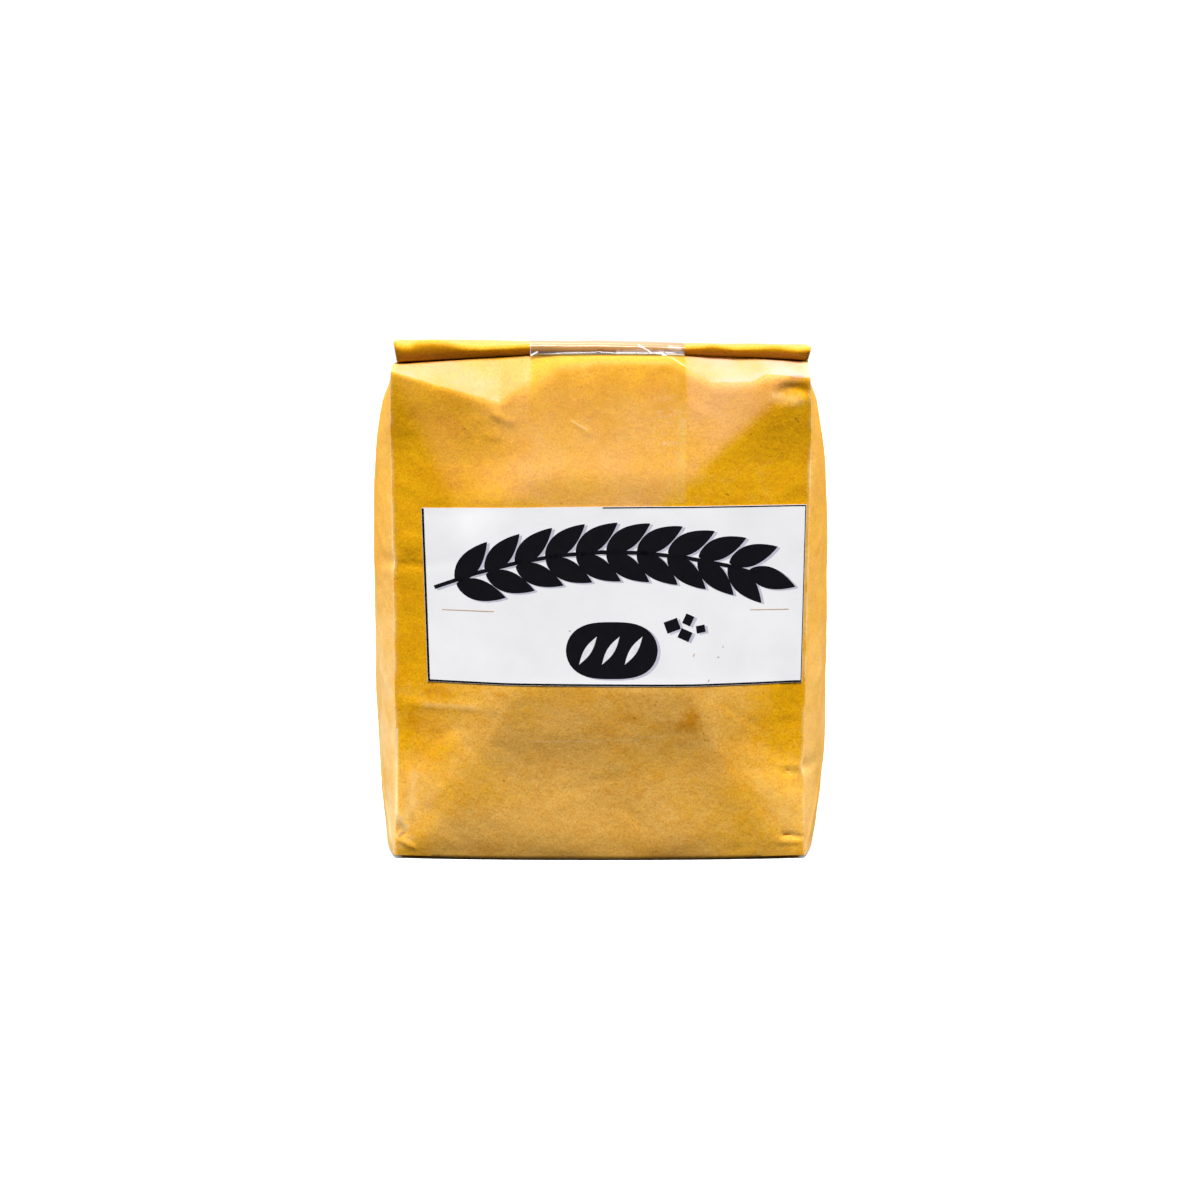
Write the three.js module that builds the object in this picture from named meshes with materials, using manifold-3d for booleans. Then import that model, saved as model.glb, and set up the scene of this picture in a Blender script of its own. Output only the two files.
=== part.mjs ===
// A shut kraft paper bag of breadcrumbs that stands on its flat base.
//
// The bag is one folded sheet: a front and a back panel, a gusset on each side that bulges out
// where the crumbs press on it and tucks in as a pocket under the top, and a mouth that is
// folded over forwards into a flat roll. A clear tape holds the roll down, and a paper label
// is stuck on the front. The bag is full, so it is one solid.
//
// Millimetres, +Z up. The front faces -Y. The origin is on the floor, under the middle.

import * as THREE from 'three';
import { mergeVertices } from 'three/addons/utils/BufferGeometryUtils.js';
import Module from 'manifold-3d';

const wasm = await Module();
wasm.setup();

// The bag's driving dimensions.
const PANEL_WIDTH = 158.5; // front and back, from fold edge to fold edge
const GUSSET_DEPTH = 76; // each side, from fold edge to fold edge
const CORNER_HEIGHT = 188.3; // the top corners above the floor
const GUSSET_HEIGHT = 181.8; // where each gusset turns in under the top
const NECK_Y = -8; // the flattened mouth stands in front of the middle
const NECK_THICKNESS = 3.2;
const HALF_WIDTH = PANEL_WIDTH / 2;
const HALF_DEPTH = GUSSET_DEPTH / 2;

// How the crumbs swell the sheet between its folds.
const GUSSET_TUCK = 34; // how far each pocket reaches in under the top
const EDGE_PULL = 4.4; // fold edges drawn in where the gussets bulge
const EDGE_SLOPE = 0.22; // each panel leaves its fold edges at this slope
const HIP_SOFTNESS = 0.5; // how round the hips between facets are
const CORNER_LIFT = 0.8; // the base's four corners curl off the floor
const BASE_FOLD = 0.9; // the rounded fold round the base
const BASE_FLAT = 0.84; // share of the base that lies flat on the floor

// The centre crease of each gusset stands out beyond the fold edges: [height, distance].
const LEFT_BULGE = [
  [0, 6.2],
  [8, 7.2],
  [16, 7.9],
  [32, 8.9],
  [56, 9.9],
  [96, 10.6],
  [115, 10.5],
  [152, 10.2],
  [161, 9.8],
  [169, 8.5],
  [177, 6.6],
  [185, 4.8],
];
const RIGHT_BULGE = [
  [0, 6],
  [8, 7.8],
  [16, 9.1],
  [32, 10.2],
  [56, 10.8],
  [90, 11.2],
  [115, 11],
  [152, 10.3],
  [161, 9.9],
  [169, 8.6],
  [177, 6.7],
  [185, 4.8],
];

// Each big panel is made of facets: one from each fold edge, a lower one that leans out from the
// bowed bottom fold, an upper one that leans back, and the level middle. Lists hold pairs of a
// place across the panel and the value there. The shoulder is where the wall turns back over
// the top, and the knee is where the front's top comes to lie under the roll.
const FRONT = {
  side: -1,
  level: 9.8,
  bow: 3.6,
  baseSlope: 0.125,
  topBow: 0.5,
  crown: 0.7,
  knee: { row: 0.6, distance: 25.2 },
  lean: [
    [-52, 0.1],
    [-26, 0.23],
    [79, 0.24],
  ],
  rounding: [
    [-79, 1.2],
    [-38, 2.2],
    [-34, 3],
    [-27, 8],
    [-18, 7],
    [0, 4],
    [27, 4],
    [43, 3],
    [60, 4],
    [79, 2],
  ],
  shoulder: [
    [-79.3, 188.3],
    [-37.9, 175.4],
    [-33, 180],
    [-27, 184.1],
    [-22, 188.6],
    [-16, 192],
    [0, 193.1],
    [27, 192.7],
    [42.5, 183.6],
    [57, 184],
    [62.5, 187.2],
    [79.3, 185.8],
  ],
};
const BACK = {
  side: 1,
  level: 8.6,
  bow: 4,
  baseSlope: 0.1,
  topBow: 2,
  crown: 1.6,
  knee: null,
  lean: [
    [-79, 0.14],
    [79, 0.14],
  ],
  rounding: [
    [-79, 2],
    [-58, 4],
    [-40, 3],
    [-27, 8],
    [0, 10],
    [28, 9],
    [42, 3],
    [60, 4],
    [79, 2],
  ],
  shoulder: [
    [-79.3, 186.3],
    [-42, 176.8],
    [-28, 186.3],
    [30, 187.3],
    [45, 175.3],
    [60, 182.8],
    [79.3, 186.3],
  ],
};

// The crevice between the bag's top and the roll, and the line along the roll's top: [x, height].
const CREVICE = [
  [-80, 191.1],
  [-44, 192.8],
  [-27, 193.7],
  [33, 193.7],
  [57, 192.9],
  [81, 191.9],
];
const ROLL_TOP = [
  [-80, 199.4],
  [0, 198.7],
  [81, 197.4],
];

// The folded roll along the top. Its section is rounded from corners, each a y and a share of
// the way from the crevice up to the roll's top.
const ROLL = {
  left: -78.8,
  right: 80.6,
  front: -28.2,
  back: -5.3,
  section: [
    [-9, -0.05],
    [-5.6, 0.15],
    [-5.1, 0.55],
    [-6.3, 1.03],
    [-16.5, 1],
    [-26.4, 0.95],
    [-28.4, 0.71],
    [-27.4, 0.34],
    [-25, -0.03],
    [-15.5, -0.03],
  ],
  endSlant: 1.4, // the front of each end is this much shorter
};
const LAYER_GAP = { height: 0.7, length: 5, rows: 2 }; // slits that show the layers at each end
const NECK_IN_ROLL = { sunk: 0.3, collar: 2 }; // how far the top and the neck reach into the roll

// The label, as its four corners on the front (x, z), and the clear tape over the roll.
const LABEL = {
  topLeft: [-68.2, 136.2],
  topRight: [78.9, 137.3],
  bottomLeft: [-66.3, 69.3],
  bottomRight: [77.7, 68.5],
  columns: 24,
  rows: 10,
  thickness: 0.4,
};
const TAPE = { left: -26.7, right: 32.3, frontEnd: 138.6, backEnd: 144.8, thickness: 0.3 };
const FILM_GAP = 0.35; // between the bag and what is stuck on it
const TAPE_LIFTS_AT = { front: 1.36, back: 1.86 }; // rows where the tape leaves the bag's top
const TAPE_TOUCHES_ABOVE = { front: 0.6, back: 0.33 }; // shares of the roll's height it starts at

// The mesh.
const PANEL_STEPS = 26;
const GUSSET_STEPS = 14;
const WALL_ROWS = 20;
const SHOULDER_ROWS = [0.962, 0.975, 0.988, 1, 1.04, 1.1, 1.18, 1.27, 1.36, 1.48, 1.6, 1.73, 1.86, 2];

const { lerp, clamp, smoothstep } = THREE.MathUtils;

// The least of some values, with the changes from one to the next rounded off.
function softMin(values, softness) {
  const sum = values.reduce((total, value) => total + Math.exp(-value / softness), 0);
  return -softness * Math.log(sum);
}

// Reads a list of pairs of a place and a value, with straight lines between them.
function between(place, pairs) {
  const next = pairs.findIndex(([at]) => place <= at);
  if (next === 0) return pairs[0][1];
  if (next < 0) return pairs.at(-1)[1];
  const [[start, first], [end, last]] = [pairs[next - 1], pairs[next]];
  return lerp(first, last, (place - start) / (end - start));
}

// 1 over the middle of a panel, falling to 0 at its fold edges.
function middleness(x) {
  return 1 - smoothstep(Math.abs(x), 0.42 * HALF_WIDTH, HALF_WIDTH);
}

// Distance from the bag's middle plane to a fold edge at height z.
function foldEdge(z) {
  const drawnIn = smoothstep(z, 0, 45) * (1 - 0.7 * smoothstep(z, 152, CORNER_HEIGHT));
  return HALF_DEPTH - EDGE_PULL * drawnIn;
}

// Distance from the middle plane to a panel's wall: facets that meet in hips.
function wallDistance(panel, x, z) {
  const across = x / HALF_WIDTH;
  const bowed = 1 - across * across;
  const fromEdge = EDGE_SLOPE * (HALF_WIDTH - Math.abs(x));
  const fromBase = panel.bow * bowed + panel.baseSlope * z;
  const fromTop = panel.topBow * bowed + between(x, panel.lean) * (CORNER_HEIGHT - z);
  const swell = softMin([fromEdge, fromBase, fromTop, panel.level], HIP_SOFTNESS);
  const atFold = 1 - Math.pow(Math.abs(across), 12);
  return foldEdge(z) + Math.max(0, swell) * atFold;
}

// A run of three points rounded off: t runs from 0 at the first to 1 at the last.
function eased([a, b, c], t) {
  const point = a.clone().multiplyScalar((1 - t) ** 2);
  return point.addScaledVector(b, 2 * t * (1 - t)).addScaledVector(c, t * t);
}

// A point on a panel. row runs from 0 at the floor to 1 at the shoulder and 2 at the neck.
function panelPoint(panel, x, row) {
  const height = between(x, panel.shoulder);
  const top = between(x, CREVICE) + NECK_IN_ROLL.sunk;
  const neck = NECK_THICKNESS / 2 + panel.side * NECK_Y;
  const knee = panel.knee ?? { row: 1, distance: neck };
  const shoulder = wallDistance(panel, x, height);

  // The wall for rows up to 1, and the top beyond, as distance from the middle and height.
  const unrounded = (at) => {
    if (at <= 1) return new THREE.Vector2(wallDistance(panel, x, height * at), height * at);
    const along = at - 1;
    if (along > knee.row)
      return new THREE.Vector2(lerp(knee.distance, neck, (along - knee.row) / (1 - knee.row)), top);
    const crown = panel.crown * middleness(x) * Math.sin(Math.PI * along);
    const share = along / knee.row;
    return new THREE.Vector2(lerp(shoulder, knee.distance, share), lerp(height, top, share) + crown);
  };

  const radius = between(x, panel.rounding);
  const below = radius / height;
  const length = Math.hypot(shoulder - knee.distance, top - height);
  const beyond = Math.min(0.8, radius / length) * knee.row;
  let point;
  if (row > 1 - below && row < 1 + beyond) {
    const t = row < 1 ? (row - 1 + below) / below / 2 : 0.5 + (row - 1) / beyond / 2;
    point = eased([unrounded(1 - below), unrounded(1), unrounded(1 + beyond)], t);
  } else {
    point = unrounded(row);
  }
  return new THREE.Vector3(x, panel.side * point.x, point.y);
}

// A point on the centre crease of a gusset: up the bulging side, then in under the top.
function creasePoint(side, row) {
  const bulge = side < 0 ? LEFT_BULGE : RIGHT_BULGE;
  const wall = (at) => {
    const z = GUSSET_HEIGHT * at;
    return new THREE.Vector2(HALF_WIDTH + between(z, bulge), z);
  };
  const inner = HALF_WIDTH - GUSSET_TUCK;
  const shoulder = wall(1);
  const neck = new THREE.Vector2(inner, between(side * inner, CREVICE) - 1.4);
  const unrounded = (at) => (at <= 1 ? wall(at) : shoulder.clone().lerp(neck, at - 1));
  const [below, beyond] = [0.05, 0.3];
  let point;
  if (row > 1 - below && row < 1 + beyond) {
    const t = row < 1 ? (row - 1 + below) / below / 2 : 0.5 + (row - 1) / beyond / 2;
    point = eased([unrounded(1 - below), unrounded(1), unrounded(1 + beyond)], t);
  } else {
    point = unrounded(row);
  }
  return new THREE.Vector3(side * point.x, NECK_Y * smoothstep(row, 1, 2), point.y);
}

// A point on a gusset. across runs from 0 at one fold edge over the crease to 1 at the other.
function gussetPoint(side, near, far, across, row) {
  const crease = creasePoint(side, row);
  const edge = across < 0.5 ? near : far;
  const share = 1 - Math.abs(2 * across - 1);
  const rounded = Math.sin((share * Math.PI) / 2) ** 0.9;
  const outward = lerp(rounded, share, smoothstep(row, 0.93, 1.2));
  return new THREE.Vector3(
    lerp(edge.x, crease.x, outward),
    lerp(edge.y, crease.y, share),
    lerp(edge.z, crease.z, lerp(share, share ** 0.85, smoothstep(row, 0.85, 1))),
  );
}

// One ring round the bag: the front from left to right, a gusset, the back, the other gusset.
function ring(row) {
  const points = [];
  const corner = (panel, side) => panelPoint(panel, side * HALF_WIDTH, row);
  for (const x of panelColumns(FRONT).slice(0, -1)) points.push(panelPoint(FRONT, x, row));
  for (let i = 0; i < GUSSET_STEPS; i++)
    points.push(gussetPoint(1, corner(FRONT, 1), corner(BACK, 1), i / GUSSET_STEPS, row));
  for (const x of panelColumns(BACK).slice(1).reverse()) points.push(panelPoint(BACK, x, row));
  for (let i = 0; i < GUSSET_STEPS; i++)
    points.push(gussetPoint(-1, corner(BACK, -1), corner(FRONT, -1), i / GUSSET_STEPS, row));
  return points;
}

// The lowest rings: the fold round the base is drawn in, and its corners curl up a little.
function baseRing(points, inset) {
  return points.map((point) => {
    const cornered = Math.abs(point.x / HALF_WIDTH) * Math.abs(point.y / HALF_DEPTH);
    const lift = CORNER_LIFT * clamp(cornered, 0, 1) ** 6;
    return new THREE.Vector3(
      point.x - inset * Math.sign(point.x) * clamp(Math.abs(point.x) / HALF_WIDTH, 0, 1) ** 4,
      point.y - inset * Math.sign(point.y) * clamp(Math.abs(point.y) / HALF_DEPTH, 0, 1) ** 4,
      point.z + lift,
    );
  });
}

// A closed surface from rings that are stacked upwards, with flat caps.
function solidFromRings(rings) {
  const count = rings[0].length;
  const positions = rings.flat().flatMap((point) => point.toArray());
  const indices = [];
  for (let r = 0; r + 1 < rings.length; r++) {
    for (let i = 0; i < count; i++) {
      const [a, b] = [r * count + i, r * count + ((i + 1) % count)];
      indices.push(a, b, b + count, a, b + count, a + count);
    }
  }
  const cap = (first, points, flipped) => {
    const outline = points.map((point) => new THREE.Vector2(point.x, point.y));
    for (const [a, b, c] of THREE.ShapeUtils.triangulateShape(outline, []))
      indices.push(first + a, first + (flipped ? c : b), first + (flipped ? b : c));
  };
  cap(0, rings[0], true);
  cap((rings.length - 1) * count, rings.at(-1), false);
  return indexedGeometry(positions, indices);
}

function indexedGeometry(positions, indices) {
  const geometry = new THREE.BufferGeometry();
  geometry.setAttribute('position', new THREE.Float32BufferAttribute(positions, 3));
  geometry.setIndex(indices);
  return geometry;
}

// The rows of the mesh above the base, closer together near the floor and the shoulder.
function bagRows() {
  const rows = [];
  for (let i = 1; i <= WALL_ROWS; i++) {
    const even = i / WALL_ROWS;
    rows.push(0.95 * lerp(even, 0.5 - 0.5 * Math.cos(Math.PI * even), 0.65));
  }
  return [...rows, ...SHOULDER_ROWS];
}

// The columns of the mesh across a panel. Those nearest to the shoulder's kinks run through them.
function panelColumns(panel) {
  const columns = Array.from({ length: PANEL_STEPS + 1 }, (_, i) => lerp(-HALF_WIDTH, HALF_WIDTH, i / PANEL_STEPS));
  for (const [kink] of panel.shoulder.slice(1, -1)) {
    const nearest = columns.reduce((best, x, i) => (Math.abs(x - kink) < Math.abs(columns[best] - kink) ? i : best), 0);
    columns[nearest] = kink;
  }
  return columns;
}

// The neck's last ring, drawn in a little and raised so that it ends inside the roll.
function collar() {
  return ring(2).map(({ x, y, z }) => new THREE.Vector3(x * 0.97, y, z + NECK_IN_ROLL.collar));
}

// The filled bag up to its neck.
function bagBody() {
  const foot = ring(0);
  const flat = foot.map((point) => new THREE.Vector3(point.x * BASE_FLAT, point.y * BASE_FLAT, 0));
  const fold = ring(BASE_FOLD / CORNER_HEIGHT);
  return solidFromRings([flat, baseRing(foot, BASE_FOLD), baseRing(fold, 0), ...bagRows().map(ring), collar()]);
}

// The roll's section in y and a share of its height, with the corners cut off twice.
function rollSection() {
  let points = ROLL.section;
  for (let i = 0; i < 2; i++) {
    points = points.flatMap(([y, up], at) => {
      const [nextY, nextUp] = points[(at + 1) % points.length];
      return [
        [lerp(y, nextY, 0.25), lerp(up, nextUp, 0.25)],
        [lerp(y, nextY, 0.75), lerp(up, nextUp, 0.75)],
      ];
    });
  }
  return points;
}

// The roll's outline at x, in y and z, anticlockwise seen from the right end.
function rollOutline(x) {
  const low = between(x, CREVICE);
  const high = between(x, ROLL_TOP);
  return rollSection().map(([y, up]) => [y, lerp(low, high, up)]);
}

// The places along the roll where its outline is set: those of the front's columns.
function rollStations() {
  return [ROLL.left, ...panelColumns(FRONT).slice(1, -1), ROLL.right];
}

// The roll as a loft of its outline along x.
function rollBody() {
  const stations = rollStations();
  const section = rollSection();
  const count = section.length;
  const positions = [];
  const indices = [];
  for (const x of stations) {
    const end = x === ROLL.left || x === ROLL.right ? Math.sign(x) : 0;
    rollOutline(x).forEach(([y, z], i) => {
      const low = clamp(1 - section[i][1], 0, 1);
      const forward = clamp((ROLL.back - y) / (ROLL.back - ROLL.front), 0, 1);
      positions.push(x - end * ROLL.endSlant * low * forward, y, z);
    });
  }
  for (let s = 0; s + 1 < stations.length; s++) {
    for (let i = 0; i < count; i++) {
      const [a, b] = [s * count + i, s * count + ((i + 1) % count)];
      indices.push(a, b, b + count, a, b + count, a + count);
    }
  }
  const last = (stations.length - 1) * count;
  const outline = section.map(([y, up]) => new THREE.Vector2(y, 7 * up));
  for (const [a, b, c] of THREE.ShapeUtils.triangulateShape(outline, []))
    indices.push(a, c, b, last + a, last + b, last + c);
  return indexedGeometry(positions, indices);
}

// Thin slits into the roll's ends, which part its layers.
function layerSlits() {
  const slits = [];
  for (const x of [ROLL.left, ROLL.right]) {
    const low = between(x, CREVICE);
    const high = between(x, ROLL_TOP);
    for (let i = 1; i <= LAYER_GAP.rows; i++) {
      const slit = new THREE.BoxGeometry(2 * LAYER_GAP.length, ROLL.back - ROLL.front, LAYER_GAP.height);
      const shift = i % 2 ? 4 : -4;
      slit.translate(x, (ROLL.front + ROLL.back) / 2 + shift, lerp(low, high, (i + 0.2) / (LAYER_GAP.rows + 1)));
      slits.push(slit);
    }
  }
  return slits;
}

function toSolid(geometry) {
  const bare = geometry.clone();
  bare.deleteAttribute('normal');
  bare.deleteAttribute('uv');
  const merged = mergeVertices(bare, 1e-4);
  const vertProperties = new Float32Array(merged.attributes.position.array);
  const triVerts = new Uint32Array(merged.index.array);
  return new wasm.Manifold(new wasm.Mesh({ numProp: 3, vertProperties, triVerts }));
}

function toGeometry(solid) {
  const { vertProperties, triVerts, numProp } = solid.getMesh();
  const positions = [];
  for (let i = 0; i < vertProperties.length; i += numProp)
    positions.push(vertProperties[i], vertProperties[i + 1], vertProperties[i + 2]);
  return indexedGeometry(positions, Array.from(triVerts));
}

function bag() {
  let solid = toSolid(bagBody()).add(toSolid(rollBody()));
  for (const slit of layerSlits()) solid = solid.subtract(toSolid(slit));
  return toGeometry(solid);
}

// A thin closed sheet between two grids of points with the same rows and columns.
function sheet(outer, inner) {
  const [rows, columns] = [outer.length, outer[0].length];
  const positions = [...outer.flat(), ...inner.flat()].flatMap((point) => point.toArray());
  const at = (layer, r, c) => layer * rows * columns + r * columns + c;
  const indices = [];
  const quad = (a, b, c, d) => indices.push(a, b, c, a, c, d);
  for (let r = 0; r + 1 < rows; r++) {
    for (let c = 0; c + 1 < columns; c++) {
      quad(at(0, r, c), at(0, r, c + 1), at(0, r + 1, c + 1), at(0, r + 1, c));
      quad(at(1, r, c), at(1, r + 1, c), at(1, r + 1, c + 1), at(1, r, c + 1));
    }
    quad(at(0, r, 0), at(0, r + 1, 0), at(1, r + 1, 0), at(1, r, 0));
    quad(at(0, r + 1, columns - 1), at(0, r, columns - 1), at(1, r, columns - 1), at(1, r + 1, columns - 1));
  }
  for (let c = 0; c + 1 < columns; c++) {
    quad(at(0, 0, c + 1), at(0, 0, c), at(1, 0, c), at(1, 0, c + 1));
    quad(at(0, rows - 1, c), at(0, rows - 1, c + 1), at(1, rows - 1, c + 1), at(1, rows - 1, c));
  }
  return indexedGeometry(positions, indices);
}

// The label follows the front panel.
function label() {
  const layer = (gap) => {
    const rows = [];
    for (let r = 0; r <= LABEL.rows; r++) {
      const up = r / LABEL.rows;
      const row = [];
      for (let c = 0; c <= LABEL.columns; c++) {
        const along = c / LABEL.columns;
        const corner = (i) =>
          lerp(
            lerp(LABEL.bottomLeft[i], LABEL.bottomRight[i], along),
            lerp(LABEL.topLeft[i], LABEL.topRight[i], along),
            up,
          );
        row.push(new THREE.Vector3(corner(0), -wallDistance(FRONT, corner(0), corner(1)) - gap, corner(1)));
      }
      rows.push(row);
    }
    return rows;
  };
  return sheet(layer(FILM_GAP + LABEL.thickness), layer(FILM_GAP));
}

// The tape's run at x, in y and z: up the front, over the roll and down the back.
function tapeRun(x) {
  const leg = (panel, end, liftsAt) => {
    const first = end / between(x, panel.shoulder);
    const lowest = Math.min(between(TAPE.left, panel.shoulder), between(TAPE.right, panel.shoulder));
    const rows = bagRows().filter((row) => row > end / lowest + 0.01 && row <= liftsAt);
    return [first, ...rows].map((row) => {
      const point = panelPoint(panel, x, row);
      return new THREE.Vector2(point.y, point.z);
    });
  };
  const section = rollSection();
  const touched = ([y, up]) => up > (y < NECK_Y ? TAPE_TOUCHES_ABOVE.front : TAPE_TOUCHES_ABOVE.back);
  const outline = rollOutline(x).filter((_, i) => touched(section[i]));
  return [
    ...leg(FRONT, TAPE.frontEnd, TAPE_LIFTS_AT.front),
    ...outline.reverse().map(([y, z]) => new THREE.Vector2(y, z)),
    ...leg(BACK, TAPE.backEnd, TAPE_LIFTS_AT.back).reverse(),
  ];
}

// A run moved out from the bag by a distance, with its corners mitred.
function offsetRun(run, distance) {
  return run.map((point, i) => {
    const before = point.clone().sub(run[Math.max(0, i - 1)]).normalize();
    const after = run[Math.min(run.length - 1, i + 1)].clone().sub(point).normalize();
    const along = before.clone().add(after).normalize();
    const mitred = distance / Math.max(0.7, along.dot(i ? before : after));
    return new THREE.Vector2(point.x - along.y * mitred, point.y + along.x * mitred);
  });
}

function tape() {
  const layer = (gap) => {
    const inside = panelColumns(FRONT).filter((x) => x > TAPE.left + 1 && x < TAPE.right - 1);
    const columns = [TAPE.left, ...inside, TAPE.right].map((x) =>
      offsetRun(tapeRun(x), gap).map((point) => new THREE.Vector3(x, point.x, point.y)),
    );
    return columns[0].map((_, r) => columns.map((column) => column[r]));
  };
  return sheet(layer(FILM_GAP + TAPE.thickness), layer(FILM_GAP));
}

function piece(name, geometry, material) {
  const flat = geometry.toNonIndexed();
  flat.computeVertexNormals();
  const mesh = new THREE.Mesh(flat, new THREE.MeshStandardMaterial(material));
  mesh.name = name;
  return mesh;
}

const breadcrumbBag = new THREE.Group();
breadcrumbBag.add(
  piece('bag', bag(), { color: 0xd9a13c, roughness: 0.75, metalness: 0 }),
  piece('label', label(), { color: 0xf4f4f6, roughness: 0.45, metalness: 0 }),
  piece('tape', tape(), { color: 0xf2e6cc, roughness: 0.15, metalness: 0, transparent: true, opacity: 0.3 }),
);

export default breadcrumbBag;
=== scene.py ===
"""A full kraft paper bag of breadcrumbs that stands on its flat base.

One folded paper sheet makes the front, the back and the two gussets. Its mouth is rolled
forwards and held down by a clear tape, and a white label is stuck on the front. The script
folds the sheet from a flat tube, rolls the mouth from its layers of paper, and lays the
label, its print and the tape on the finished surface.

Geometry is worked out in millimetres and written to the meshes in metres.
"""

import logging
import math
import random
from collections.abc import Callable, Iterable, Sequence
from dataclasses import dataclass, field
from enum import Enum

import bmesh
import bpy
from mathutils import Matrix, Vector, noise
from mathutils.bvhtree import BVHTree
from mathutils.kdtree import KDTree


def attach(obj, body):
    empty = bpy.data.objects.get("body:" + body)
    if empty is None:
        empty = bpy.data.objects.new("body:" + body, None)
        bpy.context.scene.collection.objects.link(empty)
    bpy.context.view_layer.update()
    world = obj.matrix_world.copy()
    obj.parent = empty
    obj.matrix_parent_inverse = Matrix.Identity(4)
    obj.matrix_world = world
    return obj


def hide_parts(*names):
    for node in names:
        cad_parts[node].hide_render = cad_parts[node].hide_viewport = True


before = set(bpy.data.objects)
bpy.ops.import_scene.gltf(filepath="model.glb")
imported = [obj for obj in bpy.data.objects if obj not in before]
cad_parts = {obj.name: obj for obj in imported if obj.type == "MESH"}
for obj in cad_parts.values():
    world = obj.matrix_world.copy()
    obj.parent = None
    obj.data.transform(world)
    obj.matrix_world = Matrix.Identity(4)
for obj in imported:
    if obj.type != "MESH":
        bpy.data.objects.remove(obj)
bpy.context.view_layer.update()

LOG = logging.getLogger("breadcrumb_bag")
MM = 0.001

Pair = tuple[float, float]
Table = tuple[Pair, ...]
Colour = tuple[float, float, float, float]
Spot = tuple[float, float, float, float]
Path = list[Vector]
Piece = bpy.types.Object
Socket = bpy.types.NodeSocket
Material = bpy.types.Material


# --- Small helpers ---------------------------------------------------------------------------


def clamp(value: float, low: float = 0.0, high: float = 1.0) -> float:
    """Return the value, kept between low and high."""
    return max(low, min(high, value))


def lerp(start: float, end: float, share: float) -> float:
    """Return the number at a share of the way from start to end."""
    return start + (end - start) * share


def smoothstep(value: float, low: float, high: float) -> float:
    """Return an eased step.

    Args:
        value: The number to judge.
        low: Where the step starts.
        high: Where the step ends.

    Returns:
        0 below low, 1 above high and an eased number between them.
    """
    share = clamp((value - low) / (high - low))
    return share * share * (3.0 - 2.0 * share)


def plateau(value: float, low: float, high: float, ease: float) -> float:
    """Return 1 between two limits and 0 beyond them, eased around each limit."""
    return smoothstep(value, low - ease, low + ease) * (1.0 - smoothstep(value, high - ease, high + ease))


def between(value: float, table: Sequence[Pair]) -> float:
    """Read a table of (position, value) pairs, with straight lines between its rows.

    Args:
        value: The position to read the table at.
        table: Pairs in rising order of position.

    Returns:
        The value there, held constant beyond the table's ends.
    """
    if value <= table[0][0]:
        return table[0][1]
    for (start, first), (end, last) in zip(table, table[1:]):
        if value <= end:
            return lerp(first, last, (value - start) / (end - start))
    return table[-1][1]


def soft_min(values: Iterable[float], softness: float) -> float:
    """Return the least of some values, with the change from one to the next rounded off."""
    return -softness * math.log(sum(math.exp(-value / softness) for value in values))


def rounded_corner(run: Callable[[float], Pair], row: float, below: float, beyond: float) -> Pair:
    """Follow a folded run of paper, with its corner at row 1 rounded off.

    Args:
        run: Gives a point in two coordinates for a row.
        row: Where to follow the run.
        below: How long before the corner the rounding starts.
        beyond: How long after the corner it ends.

    Returns:
        The point there.
    """
    if not 1.0 - below < row < 1.0 + beyond:
        return run(row)
    share = (row - 1.0 + below) / below / 2.0 if row < 1.0 else 0.5 + (row - 1.0) / beyond / 2.0
    weights = ((1.0 - share) ** 2, 2.0 * share * (1.0 - share), share * share)
    points = [run(at) for at in (1.0 - below, 1.0, 1.0 + beyond)]
    first, second = (sum(weight * point[i] for weight, point in zip(weights, points)) for i in (0, 1))
    return first, second


def deselect_all() -> None:
    """Leave object mode with nothing selected."""
    if bpy.context.object and bpy.context.object.mode != "OBJECT":
        bpy.ops.object.mode_set(mode="OBJECT")
    bpy.ops.object.select_all(action="DESELECT")


def select_only(piece: Piece) -> None:
    """Make one object the selected and active one."""
    deselect_all()
    piece.select_set(True)
    bpy.context.view_layer.objects.active = piece


def apply_place(piece: Piece) -> None:
    """Write an object's place, turn and scale into its mesh."""
    select_only(piece)
    bpy.ops.object.transform_apply(location=True, rotation=True, scale=True)


def add_modifier(piece: Piece, kind: str, **settings: object) -> None:
    """Add a modifier to a piece and apply it.

    Args:
        piece: The object to change.
        kind: The modifier's type, such as "SOLIDIFY".
        **settings: Values for the modifier's own properties.
    """
    select_only(piece)
    modifier = piece.modifiers.new(kind.title(), kind)
    for name, value in settings.items():
        setattr(modifier, name, value)
    bpy.ops.object.modifier_apply(modifier=modifier.name)


def edit(piece: Piece, mode: str) -> bmesh.types.BMesh:
    """Open a piece in edit mode with nothing selected.

    Args:
        piece: The object to edit.
        mode: What is to be selected in it: "EDGE" or "FACE".

    Returns:
        Its edit mesh.
    """
    select_only(piece)
    bpy.ops.object.mode_set(mode="EDIT")
    bpy.ops.mesh.select_mode(type=mode)
    bpy.ops.mesh.select_all(action="DESELECT")
    return bmesh.from_edit_mesh(piece.data)


def cut_edges(piece: Piece, wanted: Callable[[Vector, Vector], bool], cuts: int) -> None:
    """Cut all edges that a test picks, and the faces between them.

    Args:
        piece: The object to change.
        wanted: Says of an edge's two ends whether it is cut.
        cuts: How many cuts each edge gets.
    """
    mesh = edit(piece, "EDGE")
    for edge in mesh.edges:
        edge.select = wanted(edge.verts[0].co, edge.verts[1].co)
    bmesh.update_edit_mesh(piece.data)
    bpy.ops.mesh.subdivide(number_cuts=cuts)
    bpy.ops.object.mode_set(mode="OBJECT")


def shade(piece: Piece, angle: float = 35.0) -> None:
    """Shade a piece smoothly, except across edges sharper than the angle in degrees."""
    select_only(piece)
    bpy.ops.object.shade_smooth_by_angle(angle=math.radians(angle))


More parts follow.
